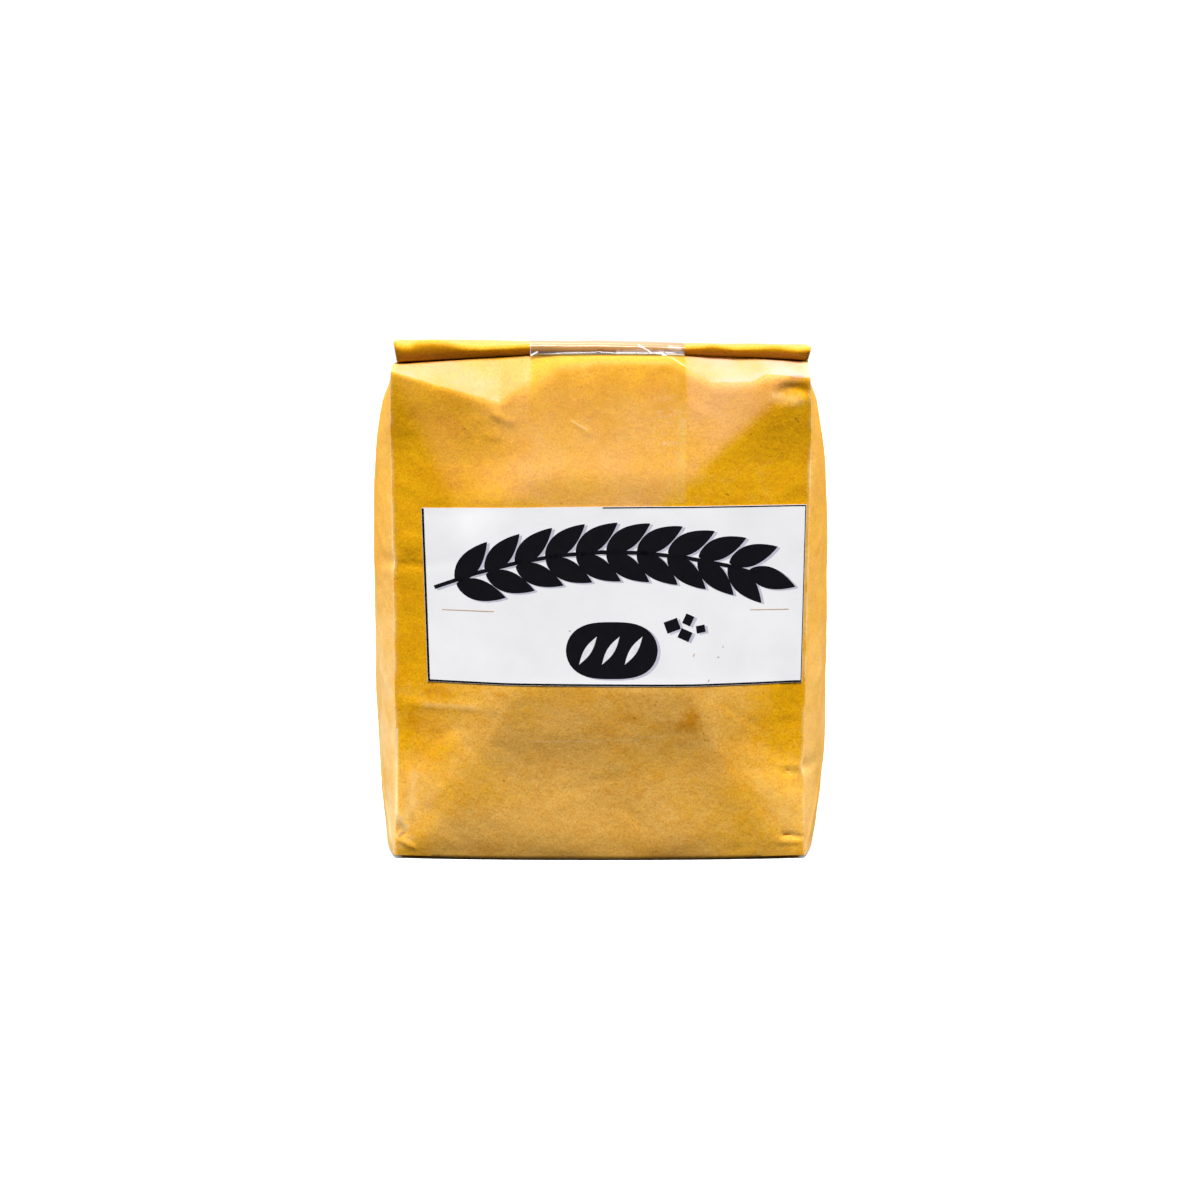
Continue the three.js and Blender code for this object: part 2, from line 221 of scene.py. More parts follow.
def set_tone(piece: Piece, tones: Iterable[float]) -> None:
    """Store the paper's tone at each vertex: below 0 painted shade, above 0 painted light and wear."""
    attribute = piece.data.attributes.new("tone", "FLOAT", "POINT")
    attribute.data.foreach_set("value", list(tones))


def copied_tone(piece: Piece, paper: Piece) -> Iterable[float]:
    """Read the tone of the paper under a sheet that is glued on it.

    Args:
        piece: The sheet.
        paper: The paper, which has its tone already.

    Yields:
        For each vertex of the sheet, the tone of the paper's nearest vertex.
    """
    tree = KDTree(len(paper.data.vertices))
    for vertex in paper.data.vertices:
        tree.insert(vertex.co, vertex.index)
    tree.balance()
    tones = paper.data.attributes["tone"].data
    for vertex in piece.data.vertices:
        yield tones[tree.find(vertex.co)[1]].value


def joined(name: str, pieces: Sequence[Piece]) -> Piece:
    """Join some objects into one.

    Args:
        name: The new object's name.
        pieces: The objects, at least one.

    Returns:
        The joined object.
    """
    select_only(pieces[0])
    for piece in pieces:
        piece.select_set(True)
    bpy.ops.object.join()
    whole = bpy.context.object
    whole.name = whole.data.name = name
    return whole


def grid(name: str, columns: int, rows: int, place: Callable[[float, float], Vector]) -> Piece:
    """Make a sheet from a grid primitive, with each vertex put in its place.

    Args:
        name: The new object's name.
        columns: Number of faces along the sheet.
        rows: Number of faces up the sheet.
        place: Gives the place in millimetres for shares along and up the sheet.

    Returns:
        The new sheet, with its origin at the world's origin.
    """
    deselect_all()
    bpy.ops.mesh.primitive_grid_add(x_subdivisions=columns, y_subdivisions=rows, size=1.0)
    piece = bpy.context.object
    piece.name = name
    piece.data.name = name
    for vertex in piece.data.vertices:
        vertex.co = place(vertex.co.x + 0.5, vertex.co.y + 0.5) * MM
    piece.data.update()
    return piece


# --- How the paper is creased ----------------------------------------------------------------


@dataclass(frozen=True)
class Crease:
    """A ridge or, with a negative height, a groove along a line on the flat sheet.

    Positions are (across, up) in millimetres on the sheet: up is the height on a wall, and
    runs on past the shoulder along the sheet's top.
    """

    start: Pair
    end: Pair
    height: float
    width: float
    taper: float = 0.05

    def lift(self, across: float, up: float) -> float:
        """Work out how far the crease lifts the sheet at a position.

        Args:
            across: Place across the sheet.
            up: Place up the sheet.

        Returns:
            The lift in millimetres, below 0 where the paper sinks.
        """
        run_x, run_y = self.end[0] - self.start[0], self.end[1] - self.start[1]
        from_x, from_y = across - self.start[0], up - self.start[1]
        squared = run_x * run_x + run_y * run_y
        along = (from_x * run_x + from_y * run_y) / squared
        if not -self.taper < along < 1.0 + self.taper:
            return 0.0
        distance = abs(from_x * run_y - from_y * run_x) / math.sqrt(squared)
        if distance > self.width:
            return 0.0
        fading = smoothstep(along, -self.taper, 0.25) * (1.0 - smoothstep(along, 0.75, 1.0 + self.taper))
        return self.height * fading * (1.0 - distance / self.width) ** 1.4


@dataclass(frozen=True)
class Dent:
    """A rounded dent or, with a negative depth, a bump on the flat sheet."""

    centre: Pair
    radii: Pair
    depth: float
    turn: float = 0.0

    def lift(self, across: float, up: float) -> float:
        """Work out how far the dent lifts the sheet at a position.

        Args:
            across: Place across the sheet.
            up: Place up the sheet.

        Returns:
            The lift in millimetres, below 0 where the paper sinks.
        """
        from_x, from_y = across - self.centre[0], up - self.centre[1]
        reach = max(self.radii)
        if abs(from_x) > reach or abs(from_y) > reach:
            return 0.0
        angle = math.radians(self.turn)
        x = (from_x * math.cos(angle) + from_y * math.sin(angle)) / self.radii[0]
        y = (from_y * math.cos(angle) - from_x * math.sin(angle)) / self.radii[1]
        inside = 1.0 - x * x - y * y
        return -self.depth * inside * inside * (3.0 - 2.0 * inside) if inside > 0.0 else 0.0


@dataclass(frozen=True)
class Buckle:
    """A fold pressed into the sheet: it sinks from a ridge to a valley and comes out again.

    Each table gives a height, or the valley's depth, for positions across the sheet.
    """

    ridge: Table
    valley: Table
    brow: Table
    depth: Table

    def lift(self, across: float, up: float) -> float:
        """Work out how far the buckle lifts the sheet at a position.

        Args:
            across: Place across the sheet.
            up: Place up the sheet.

        Returns:
            The lift in millimetres, below 0 where the paper sinks.
        """
        depth = between(across, self.depth)
        ridge, valley, brow = (between(across, line) for line in (self.ridge, self.valley, self.brow))
        if depth <= 0.0 or not ridge < up < brow:
            return 0.0
        share = (up - ridge) / (valley - ridge) if up < valley else (brow - up) / (brow - valley)
        return -depth * share


def scattered_creases(seed: int, count: int, area: tuple[float, float, float, float]) -> tuple[Crease, ...]:
    """Return small creases at seeded random places, as handling leaves in paper.

    Args:
        seed: Seed of the random draws.
        count: How many creases to make.
        area: Lowest and highest position across, then lowest and highest up.

    Returns:
        The creases.
    """
    draw = random.Random(seed)
    creases = []
    for _ in range(count):
        across, up = draw.uniform(area[0], area[1]), draw.uniform(area[2], area[3])
        angle, length = draw.uniform(0.0, math.tau), draw.uniform(5.0, 26.0)
        end = (across + length * math.cos(angle), up + length * math.sin(angle))
        height = draw.choice((-1.0, 1.0)) * draw.uniform(0.05, 0.22)
        creases.append(Crease((across, up), end, height, draw.uniform(1.6, 4.5)))
    return tuple(creases)


@dataclass(frozen=True)
class Panel:
    """A big face of the bag, the front or the back, swollen by the crumbs.

    Sizes are in millimetres. The panel rises from its folds in facets of steady slope that
    meet in hips, up to a level middle.
    """

    side: int
    level: float
    bow: float
    crown: float
    base_slope: float
    top_bow: float
    lean: Table
    rounding: Table
    shoulder: Table
    knee: Pair = (0.0, 0.0)
    creases: tuple[Crease, ...] = ()
    dents: tuple[Dent, ...] = ()
    buckles: tuple[Buckle, ...] = ()

    def detail(self, across: float, up: float) -> float:
        """Return how far the panel's own creases, dents and buckles lift it at a position."""
        marks = (*self.creases, *self.dents, *self.buckles)
        return sum(mark.lift(across, up) for mark in marks)


FRONT = Panel(
    side=-1,
    level=9.8,
    bow=3.6,
    crown=0.7,
    base_slope=0.125,
    top_bow=0.5,
    lean=((-52, 0.10), (-26, 0.23), (79, 0.24)),
    rounding=(
        *((-79, 1.2), (-38, 2.2), (-34, 3), (-27, 8), (-18, 7)),
        *((0, 4), (27, 4), (43, 3), (60, 4), (79, 2)),
    ),
    shoulder=(
        *((-79.3, 188.3), (-37.9, 175.4), (-33, 180.0), (-27, 184.1), (-22, 188.6), (-16, 192.0)),
        *((0, 193.1), (27, 192.7), (42.5, 183.6), (57, 184.0), (62.5, 187.2), (79.3, 185.8)),
    ),
    knee=(0.6, 25.2),
    creases=(
        Crease((-42, 172.8), (-31, 167.8), 0.5, 2.6),
        Crease((-10.5, 170.0), (-2.5, 163.6), 0.55, 1.7),
        Crease((-79, 114.1), (-66, 114.1), -0.6, 1.8),
        Crease((-79, 60.8), (-38, 59.4), 0.34, 3.2),
        Crease((-26.4, 47.1), (-2, 49.2), 0.05, 1.2),
        Crease((-4, 49.2), (23, 49.0), 0.05, 1.2),
        Crease((69.0, 9.6), (79.2, 8.4), -0.8, 1.4),
        Crease((68.0, 6.6), (79.2, 6.4), 0.4, 2.0),
        Crease((79.2, 35.3), (69.0, 36.3), 0.6, 2.2),
        Crease((79.2, 33.3), (71.0, 33.8), -0.5, 1.4),
        Crease((-78.6, 10.8), (-77.2, 47.8), 0.6, 1.7),
        Crease((-74.4, 35.8), (-72.2, 13.8), 0.8, 2.4),
        Crease((-79.0, 8.2), (-70.5, 3.6), 0.6, 2.0),
    ),
    dents=(
        Dent((-66, 51.8), (17, 8), 0.2),
        Dent((-60, 35.8), (20, 10), -0.6, 55.0),
        Dent((66, 29.8), (22, 10), -0.6, -52.0),
        Dent((73, 61.8), (5, 28), 0.5),
        Dent((-72, 122.8), (6, 5), -0.4),
    ),
    buckles=(
        Buckle(
            ridge=((66, 174.1), (67.2, 174.4), (74.5, 176.7), (79.3, 178.8)),
            valley=((66, 180.4), (71, 181.7), (74.5, 181.8), (79.3, 179.4)),
            brow=((66, 182.8), (71, 186.4), (74, 189.8), (79.3, 188.8)),
            depth=((65.0, 0), (69, 1.3), (73.5, 2.1), (77.5, 1.4), (79.3, 0.3)),
        ),
        Buckle(
            ridge=((-79.3, 8.0), (-74, 9.6)),
            valley=((-79.3, 11.0), (-74, 10.2)),
            brow=((-79.3, 16.8), (-74, 12.3)),
            depth=((-79.3, 1.6), (-76.5, 1.2), (-74, 0.0)),
        ),
    ),
)

BACK = Panel(
    side=1,
    level=8.6,
    bow=4.0,
    crown=1.6,
    base_slope=0.1,
    top_bow=2.0,
    lean=((-79, 0.14), (79, 0.14)),
    rounding=((-79, 2), (-58, 4), (-40, 3), (-27, 8), (0, 10), (28, 9), (42, 3), (60, 4), (79, 2)),
    shoulder=(
        *((-79.3, 186.3), (-42, 176.8), (-28, 186.3), (30, 187.3)),
        *((45, 175.3), (60, 182.8), (79.3, 186.3)),
    ),
    creases=(
        Crease((52, 169.8), (39, 157.8), 0.5, 3.0),
        Crease((-50, 173.8), (-38, 161.8), 0.5, 3.0),
        Crease((79, 93.8), (60, 96.8), -0.6, 2.0),
        Crease((-79, 59.8), (-46, 63.8), 0.7, 4.5),
        Crease((79, 48.8), (44, 57.8), 0.7, 4.5),
        Crease((-79, 11.8), (-70, 7.8), -1.0, 1.8),
        Crease((79, 10.8), (70, 7.3), -1.0, 1.8),
    ),
    dents=(
        Dent((-60, 39.8), (14, 8), -0.8, 50.0),
        Dent((61, 35.8), (14, 8), -0.8, -50.0),
        Dent((30, 121.8), (26, 18), 0.6, 20.0),
        Dent((-34, 87.8), (24, 16), 0.5, -15.0),
    ),
)


# The tape's two edges and lower end, the label's reach, and the height along x of the crevice
# under the rolled top.
TAPE_LEFT, TAPE_RIGHT, TAPE_END = -26.7, 32.3, 137.8
LABEL_WIDTH, LABEL_HEIGHT = (-68.5, 79.0), (68.3, 137.3)
CREVICE = ((-80.0, 191.1), (-44.0, 192.8), (-27.0, 193.7), (33.0, 193.7), (57.0, 192.9), (81.0, 191.9))

# How much painted light the shoulder gets, along x: it is painted paler where the light falls on it.
TOP_PAINTED_LIGHT = ((-80, 0.68), (-54, 0.6), (-38, 0.3), (-27, 0.3), (33, 0.5), (50, 0.75), (64, 0.95))


@dataclass
class PaperBag:
    """The folded sheet: two panels, two gussets and the base.

    Sizes are in millimetres. A drift moves the fold edges sideways, and a bulge is how far a
    gusset's centre crease swells past them, both for heights above the floor. Rows count 0
    at the floor, 1 at the shoulder and 2 at the neck, and row_spread gives them for shares of
    the sheet's length. Crumples have a size and a lift each. The paper is hidden by the roll
    from one row to the next, in front and behind, and is painted with shade there.
    """

    width: float = 158.5
    depth: float = 76.0
    corner_height: float = 188.3
    gusset_height: float = 181.8
    neck_below: float = 0.4
    neck_y: float = -8.0
    neck_gap: float = 1.3
    top_sheet: float = 42.0
    edge_slope: float = 0.22
    hip_softness: float = 0.5
    edge_pull: float = 4.4
    left_drift: Table = (
        *((0, -0.3), (20, 0.4), (44, 0.2), (94, 0.2), (112, 0.0)),
        *((115, 0.7), (120, 0.0), (167, -0.5), (189, 0.0)),
    )
    right_drift: Table = (
        *((0, 0.0), (10, 0.0), (32, -0.6), (35, -1.4)),
        *((39, -0.6), (94, 0.2), (167, 1.2), (189, 0.4)),
    )
    left_bulge: Table = (
        *((0, 5.8), (8, 6.6), (16, 7.2), (32, 8.0), (56, 9.0), (96, 9.6)),
        *((115, 9.5), (152, 9.0), (161, 8.6), (169, 7.3), (177, 5.6), (185, 4.2)),
    )
    right_bulge: Table = (
        *((0, 5.4), (8, 7.2), (16, 8.4), (32, 9.4), (56, 9.9), (90, 10.5)),
        *((115, 10.0), (152, 9.3), (161, 8.8), (169, 7.5), (177, 5.7), (185, 4.2)),
    )
    gusset_tuck: float = 34.0
    crease_rounding: Pair = (0.05, 0.3)
    gusset_centre: Crease = Crease((0.0, 3.0), (0.6, 184.0), 1.1, 3.2)
    crumples: tuple[Pair, Pair, Pair] = ((52.0, 0.75), (19.0, 0.32), (6.5, 0.075))
    hidden_in_front: Pair = (1.52, 1.66)
    hidden_behind: Pair = (1.9, 1.96)
    base_height: float = 0.55
    corner_lift: float = 0.9
    steps: tuple[int, int, int] = (148, 56, 200)
    row_spread: Table = ((0, 0), (0.06, 0.054), (0.55, 0.84), (0.79, 1.1), (1, 2))
    panels: tuple[Panel, Panel] = (FRONT, BACK)
    small_creases: dict[int, tuple[Crease, ...]] = field(default_factory=dict)

    def __post_init__(self) -> None:
        """Draw the small creases of both panels and both gussets."""
        panel_area = (-74.0, 74.0, 6.0, 222.0)
        self.small_creases = {
            -1: scattered_creases(11, 70, panel_area),
            1: scattered_creases(23, 80, panel_area),
            0: scattered_creases(37, 40, (-36.0, 36.0, 8.0, 176.0)),
        }

    @property
    def half_width(self) -> float:
        """Half the width of a panel."""
        return self.width / 2.0

    @property
    def half_depth(self) -> float:
        """Half the depth of a gusset."""
        return self.depth / 2.0

    @property
    def sheet(self) -> float:
        """The length of the flat tube from the floor to the neck."""
        return self.corner_height + self.top_sheet

    def fold_edge_x(self, side: int, z: float) -> float:
        """Return where the fold edges on one side stand at a height."""
        drift = between(z, self.left_drift if side < 0 else self.right_drift)
        return side * self.half_width + drift

    def fold_edge_y(self, z: float) -> float:
        """Return how far the fold edges stand from the middle plane at a height."""
        drawn_in = smoothstep(z, 0.0, 45.0) * (1.0 - 0.7 * smoothstep(z, 152.0, self.corner_height))
        return self.half_depth - self.edge_pull * drawn_in

    def wall_distance(self, panel: Panel, across: float, z: float) -> float:
        """Return a panel's distance from the middle plane.

        Args:
            panel: The front or the back.
            across: Place on the panel, from -1 at the left fold to 1 at the right one.
            z: Height above the floor.

        Returns:
            The distance, the least of the facets that meet there.
        """
        bowed = 1.0 - across * across
        facets = (
            self.edge_slope * (1.0 - abs(across)) * self.half_width,
            panel.bow * bowed + panel.base_slope * z,
            panel.top_bow * bowed + between(across * self.half_width, panel.lean) * (self.corner_height - z),
            panel.level,
        )
        at_fold = 1.0 - abs(across) ** 12
        return self.fold_edge_y(z) + max(0.0, soft_min(facets, self.hip_softness)) * at_fold

    def shoulder_height(self, panel: Panel, x: float) -> float:
        """Return the height at which a panel turns back towards the neck."""
        return between(x, panel.shoulder)

    def neck_height(self, x: float) -> float:
        """Return the height of the neck, just under the rolled top."""
        return between(x, CREVICE) - self.neck_below

    def panel_base(self, panel: Panel, across: float, row: float) -> Vector:
        """Return a point of a panel without its creases.

        Args:
            panel: The front or the back.
            across: Place on the panel, from -1 at the left fold to 1 at the right one.
            row: 0 at the floor, 1 at the shoulder and 2 at the neck.

        Returns:
            The point.
        """
        x = across * self.half_width
        height = self.shoulder_height(panel, x)
        shoulder, top = self.wall_distance(panel, across, height), self.neck_height(x)
        middle = 1.0 - smoothstep(abs(x), 0.42 * self.half_width, self.half_width)
        neck = self.neck_gap / 2.0 + panel.side * self.neck_y
        knee_at, knee_y = panel.knee
        bend = knee_y if knee_at else neck

        def run(at: float) -> Pair:
            """Return the distance from the middle plane and the height at a row."""
            if at <= 1.0:
                return self.wall_distance(panel, across, height * at), height * at
            along = at - 1.0
            if knee_at and along > knee_at:
                return lerp(knee_y, neck, (along - knee_at) / (1.0 - knee_at)), top
            crown = panel.crown * middle * math.sin(math.pi * along)
            share = along / (knee_at or 1.0)
            return lerp(shoulder, bend, share), lerp(height, top, share) + crown

        radius = between(x, panel.rounding)
        beyond = min(0.8, radius / math.hypot(shoulder - bend, top - height)) * (knee_at or 1.0)
        distance, z = rounded_corner(run, row, radius / height, beyond)
        edge = self.fold_edge_x(-1 if across < 0.0 else 1, min(z, self.corner_height))
        return Vector((abs(across) * edge, panel.side * distance, self.raised(z)))

    def raised(self, z: float) -> float:
        """Return a height, lifted near the floor to make room for the glued flaps."""
        return z + self.base_height * (1.0 - smoothstep(z, 0.0, 8.0))

    def crease_line(self, side: int, row: float) -> Vector:
        """Return a point on a gusset's centre crease.

        Args:
            side: -1 for the left gusset and 1 for the right one.
            row: As in panel_base.

        Returns:
            The point.
        """
        inner = self.half_width - self.gusset_tuck
        neck = (inner, self.neck_height(side * inner) - 1.0)

        def run(at: float) -> Pair:
            """Return the distance from the middle plane and the height at a row."""
            if at <= 1.0:
                z = self.gusset_height * at
                return self.half_width + between(z, self.left_bulge if side < 0 else self.right_bulge), z
            shoulder = run(1.0)
            return lerp(shoulder[0], neck[0], at - 1.0), lerp(shoulder[1], neck[1], at - 1.0)

        x, z = rounded_corner(run, row, *self.crease_rounding)
        return Vector((side * x, self.neck_y * smoothstep(row, 1.0, 2.0), self.raised(z)))

    def gusset_base(self, side: int, share: float, row: float) -> Vector:
        """Return a point of a gusset without its creases.

        Args:
            side: -1 for the left gusset and 1 for the right one.
            share: 0 at the front fold edge, 0.5 at the centre crease and 1 at the back one.
            row: As in panel_base.

        Returns:
            The point.
        """
        crease = self.crease_line(side, row)
        edge = self.panel_base(self.panels[0 if share < 0.5 else 1], float(side), row)
        inwards = 1.0 - abs(2.0 * share - 1.0)
        rounded = math.sin(inwards * math.pi / 2.0) ** 0.9
        outward = lerp(rounded, inwards, smoothstep(row, 0.93, 1.2))
        upward = lerp(inwards, inwards**0.85, smoothstep(row, 0.85, 1.0))
        shares = (outward, inwards, upward)
        return Vector([lerp(start, end, part) for start, end, part in zip(edge, crease, shares)])

    def crumple(self, place: Vector, held: float) -> float:
        """Return the paper's uneven lift at a place.

        Args:
            place: Position in millimetres.
            held: 0 on bare paper, up to 1 where a label or tape holds it smooth.

        Returns:
            The lift in millimetres.
        """
        (broad_size, broad_lift), (middle_size, middle_lift), (fine_size, fine_lift) = self.crumples
        broad = noise.fractal(place / broad_size, 1.0, 2.0, 2) * broad_lift
        middle = noise.noise(place / middle_size + Vector((7.0, 3.0, 1.0))) * middle_lift
        fine = noise.fractal(place / fine_size, 0.8, 2.1, 3) * fine_lift
        return broad * (1.0 - 0.75 * held) + (middle + fine) * (1.0 - 0.9 * held)

    def held_smooth(self, side: int, x: float, z: float) -> float:
        """Work out how far the label or the tape holds the paper smooth.

        Args:
            side: -1 for the front and 1 for the back.
            x: Place across.
            z: Place up the sheet.

        Returns:
            1 under the label and the tape, 0 on bare paper and eased between them.
        """
        tape = plateau(x, TAPE_LEFT, TAPE_RIGHT, 2.5) * smoothstep(z, TAPE_END - 2.5, TAPE_END + 2.5)
        label = plateau(x, *LABEL_WIDTH, 3.0) * plateau(z, *LABEL_HEIGHT, 3.0) if side < 0 else 0.0
        return max(tape, label)

    def panel_point(self, panel: Panel, across: float, row: float, lift: float = 0.0) -> Vector:
        """Return a point of a finished panel.

        Args:
            panel: The front or the back.
            across: As in panel_base.
            row: As in panel_base.
            lift: How far the point is moved out from the paper.

        Returns:
            The point.
        """
        base = self.panel_base(panel, across, row)
        step_x = self.panel_base(panel, across + (0.01 if across < 0.0 else -0.01), row) - base
        step_up = self.panel_base(panel, across, row + (0.008 if row < 1.99 else -0.008)) - base
        normal = step_x.cross(step_up).normalized()
        if normal.y * panel.side < -0.3 or normal.z < -0.6:
            normal.negate()
        if normal.y * panel.side < 0.0 and normal.z < 0.0:
            normal.negate()
        x = across * self.half_width
        height = self.shoulder_height(panel, x)
        up = row * height if row <= 1.0 else height + (row - 1.0) * self.top_sheet
        at_edge = smoothstep(self.half_width - abs(x), 0.0, 3.5)
        fade = smoothstep(up, 0.0, 5.0) * (1.0 - smoothstep(row, 1.72, 1.9))
        marks = panel.detail(x, up) * smoothstep(self.half_width - abs(x), 0.0, 1.3)
        marks += sum(crease.lift(x, up) for crease in self.small_creases[panel.side]) * at_edge
        held = self.held_smooth(panel.side, x, up)
        uneven = self.crumple(base, held) * at_edge
        return base + normal * ((marks * (1.0 - 0.5 * held) + uneven) * fade + lift)

    def gusset_point(self, side: int, share: float, row: float) -> Vector:
        """Return a point of a finished gusset.

        Args:
            side: As in gusset_base.
            share: As in gusset_base.
            row: As in panel_base.

        Returns:
            The point.
        """
        base = self.gusset_base(side, share, row)
        along = (share - 0.5) * self.depth
        at_edge = smoothstep(self.half_depth - abs(along), 0.0, 4.0)
        up = row * self.corner_height
        fade = smoothstep(up, 0.0, 6.0) * (1.0 - smoothstep(row, 1.0, 1.3))
        lift = self.crumple(base, 0.0) + sum(crease.lift(along, up) for crease in self.small_creases[0])
        pinch = Crease((math.copysign(36.0, along), 0.0), (0.0, 39.0), 0.7, 2.4).lift(along, up)
        lift += self.gusset_centre.lift(along, up) + pinch
        return base + Vector((side, 0.0, 0.0)) * lift * at_edge * fade

    def base_point(self, across: float, along: float) -> Vector:
        """Return a point of the base.

        Args:
            across: Place across its width, from -1 to 1.
            along: Place across its depth, from -1 to 1.

        Returns:
            The point.
        """
        x_edge = self.gusset_base(1 if across > 0.0 else -1, (along + 1.0) / 2.0, 0.0).x
        y_edge = self.panel_base(self.panels[0 if along < 0.0 else 1], across, 0.0).y
        lift = self.corner_lift * abs(across * along) ** 6
        inset = 1.0 - 0.01 * max(abs(across), abs(along)) ** 10
        return Vector((abs(across) * x_edge * inset, abs(along) * y_edge * inset, self.base_height + lift))

    def folded(self, flat: Vector) -> Vector:
        """Return where a point of the flat-sided tube goes when the bag is folded and filled.

        Args:
            flat: A point of the tube, in millimetres: a box of the bag's width and depth whose
                height is that of the whole sheet.

        Returns:
            The point of the finished bag.
        """
        across, along = flat.x / self.half_width, flat.y / self.half_depth
        row = between(flat.z / self.sheet, self.row_spread)
        if flat.z < 0.01:
            return self.base_point(across, along)
        if abs(along) > 0.9999:
            return self.panel_point(self.panels[0 if along < 0.0 else 1], across, row)
        return self.gusset_point(1 if across > 0.0 else -1, (along + 1.0) / 2.0, row)

    def build(self) -> Piece:
        """Fold the bag from a box primitive.

        Returns:
            The bag, open at the neck inside the roll.
        """
        deselect_all()
        bpy.ops.mesh.primitive_cube_add(size=1.0, location=(0.0, 0.0, self.sheet * MM / 2.0))
        piece = bpy.context.object
        piece.name = piece.data.name = "paper_bag"
        piece.scale = (self.width * MM, self.depth * MM, self.sheet * MM)
        apply_place(piece)
        directions = (
            lambda a, b: abs(a.x - b.x) > 1e-5,
            lambda a, b: abs(a.y - b.y) > 1e-5,
            lambda a, b: abs(a.z - b.z) > 1e-5,
        )
        for wanted, steps in zip(directions, self.steps):
            cut_edges(piece, wanted, 3)
            cut_edges(piece, wanted, steps // 4 - 1)
        mesh = edit(piece, "FACE")
        for face in mesh.faces:
            face.select = face.normal.z > 0.9 and face.calc_center_median().z > self.sheet * MM * 0.9
        bmesh.update_edit_mesh(piece.data)
        bpy.ops.mesh.delete(type="FACE")
        bpy.ops.mesh.select_mode(type="EDGE")
        bpy.ops.mesh.select_non_manifold()
        bpy.ops.mesh.edge_face_add()
        bpy.ops.object.mode_set(mode="OBJECT")
        flat = [vertex.co / MM for vertex in piece.data.vertices]
        set_tone(piece, (self.tone(point) for point in flat))
        for vertex, point in zip(piece.data.vertices, flat):
            vertex.co = self.folded(point) * MM
        piece.data.update()
        shade(piece, 38.0)
        return piece

    def tone(self, flat: Vector) -> float:
        """Work out the paper's tone at a point of the flat-sided tube.

        Args:
            flat: The point, as in folded.

        Returns:
            The tone: below 0 for painted shade, above 0 for painted light and for wear on the folds.
        """
        row = between(flat.z / self.sheet, self.row_spread)
        from_edge = (self.half_width - abs(flat.x)) + (self.half_depth - abs(flat.y))
        lightened = 0.7 * (1.0 - smoothstep(from_edge, 0.0, 1.2))
        patchy = 0.5 + 0.9 * noise.noise(Vector((3.0, flat.y, flat.z)) / 6.0)
        # Painted shade: the paper under the roll, in front and behind, is darkened.
        hidden, shaded = smoothstep(row, *self.hidden_in_front), 0.0
        if abs(flat.y) < self.half_depth - 0.01:
            lightened = max(lightened, self.gusset_wear(flat, row))
            painted_light, most = self.gusset_painted_light(flat), 0.6
        else:
            panel = self.panels[0 if flat.y < 0.0 else 1]
            low, high = self.past_hips(panel, flat, row)
            painted_light, most = self.panel_painted_light(panel, flat.x, row, low, high)
            # Painted shade on the lower facet, which faces down, and darker towards the floor.
            shaded = 0.15 * smoothstep(low, -0.35, 0.35) * (1.0 - smoothstep(row, 0.4, 0.5))
            shaded += 0.2 * (1.0 - smoothstep(flat.z, 0.0, 18.0))
            if panel.side > 0:
                hidden = smoothstep(row, *self.hidden_behind)
        return clamp(lightened * patchy, painted_light, most) * (1.0 - hidden) - 0.8 * hidden - shaded

    def gusset_wear(self, flat: Vector, row: float) -> float:
        """Return how much a gusset shows wear along its centre crease and its two lower folds."""
        folds = (abs(flat.y - 0.6 * flat.z / 180.0), abs(abs(flat.y) - 36.0 + 36.0 * flat.z / 39.0))
        return 0.55 * (1.0 - smoothstep(min(folds), 0.2, 1.5)) * (1.0 - smoothstep(row, 0.95, 1.2))

    def gusset_painted_light(self, flat: Vector) -> float:
        """Return how much painted light a gusset gets, most on the left and low down."""
        return 0.08 + (0.5 if flat.x < 0.0 else 0.2) * (1.0 - smoothstep(flat.z, 40.0, 110.0))

    def past_hips(self, panel: Panel, flat: Vector, row: float) -> Pair:
        """Return on which side of a panel's hips a point lies.

        Args:
            panel: The front or the back.
            flat: The point, as in folded.
            row: The point's row.

        Returns:
            How far the side facet lies above the lower facet there, and above the upper one.
        """
        across = flat.x / self.half_width
        bowed, side = 1.0 - across * across, self.edge_slope * (1.0 - abs(across)) * self.half_width
        low = side - panel.bow * bowed - panel.base_slope * flat.z
        fall = self.corner_height - row * self.shoulder_height(panel, flat.x)
        return low, side - panel.top_bow * bowed - between(flat.x, panel.lean) * fall

    def panel_painted_light(self, panel: Panel, x: float, row: float, low: float, high: float) -> Pair:
        """Work out how much painted light a panel gets, where its faces turn towards the light.

        Args:
            panel: The front or the back.
            x: Place across.
            row: As in panel_base.
            low: The first number of past_hips.
            high: The second number of past_hips.

        Returns:
            How much painted light it gets, and the most that wear can add up to there.
        """
        # Painted light on the upper facets that lean back towards the light, more so beside the tape, and on
        # the shoulder.
        beside_tape = smoothstep(x, 30.0, 36.0) * (1.0 - smoothstep(x, 50.0, 62.0))
        leaning = (0.85 + 0.5 * beside_tape) * between(x, panel.lean) * smoothstep(high, -0.8, 1.2)
        above = between(x, TOP_PAINTED_LIGHT) * smoothstep(row, 1.0, 1.05)
        painted_light = max(above, leaning)
        # Under the tape on the front, most of the painted light is taken away from the shoulder up.
        if panel.side < 0 and TAPE_LEFT < x < TAPE_RIGHT:
            painted_light *= 1.0 - 0.75 * smoothstep(row, 0.88, 0.97)
        # Painted light on the lower corner triangles past the hips.
        corner = 0.2 * (1.0 - smoothstep(low, -1.4, -0.3)) * (1.0 - smoothstep(row, 0.08, 0.26))
        return max(painted_light, corner), max(0.55, above)


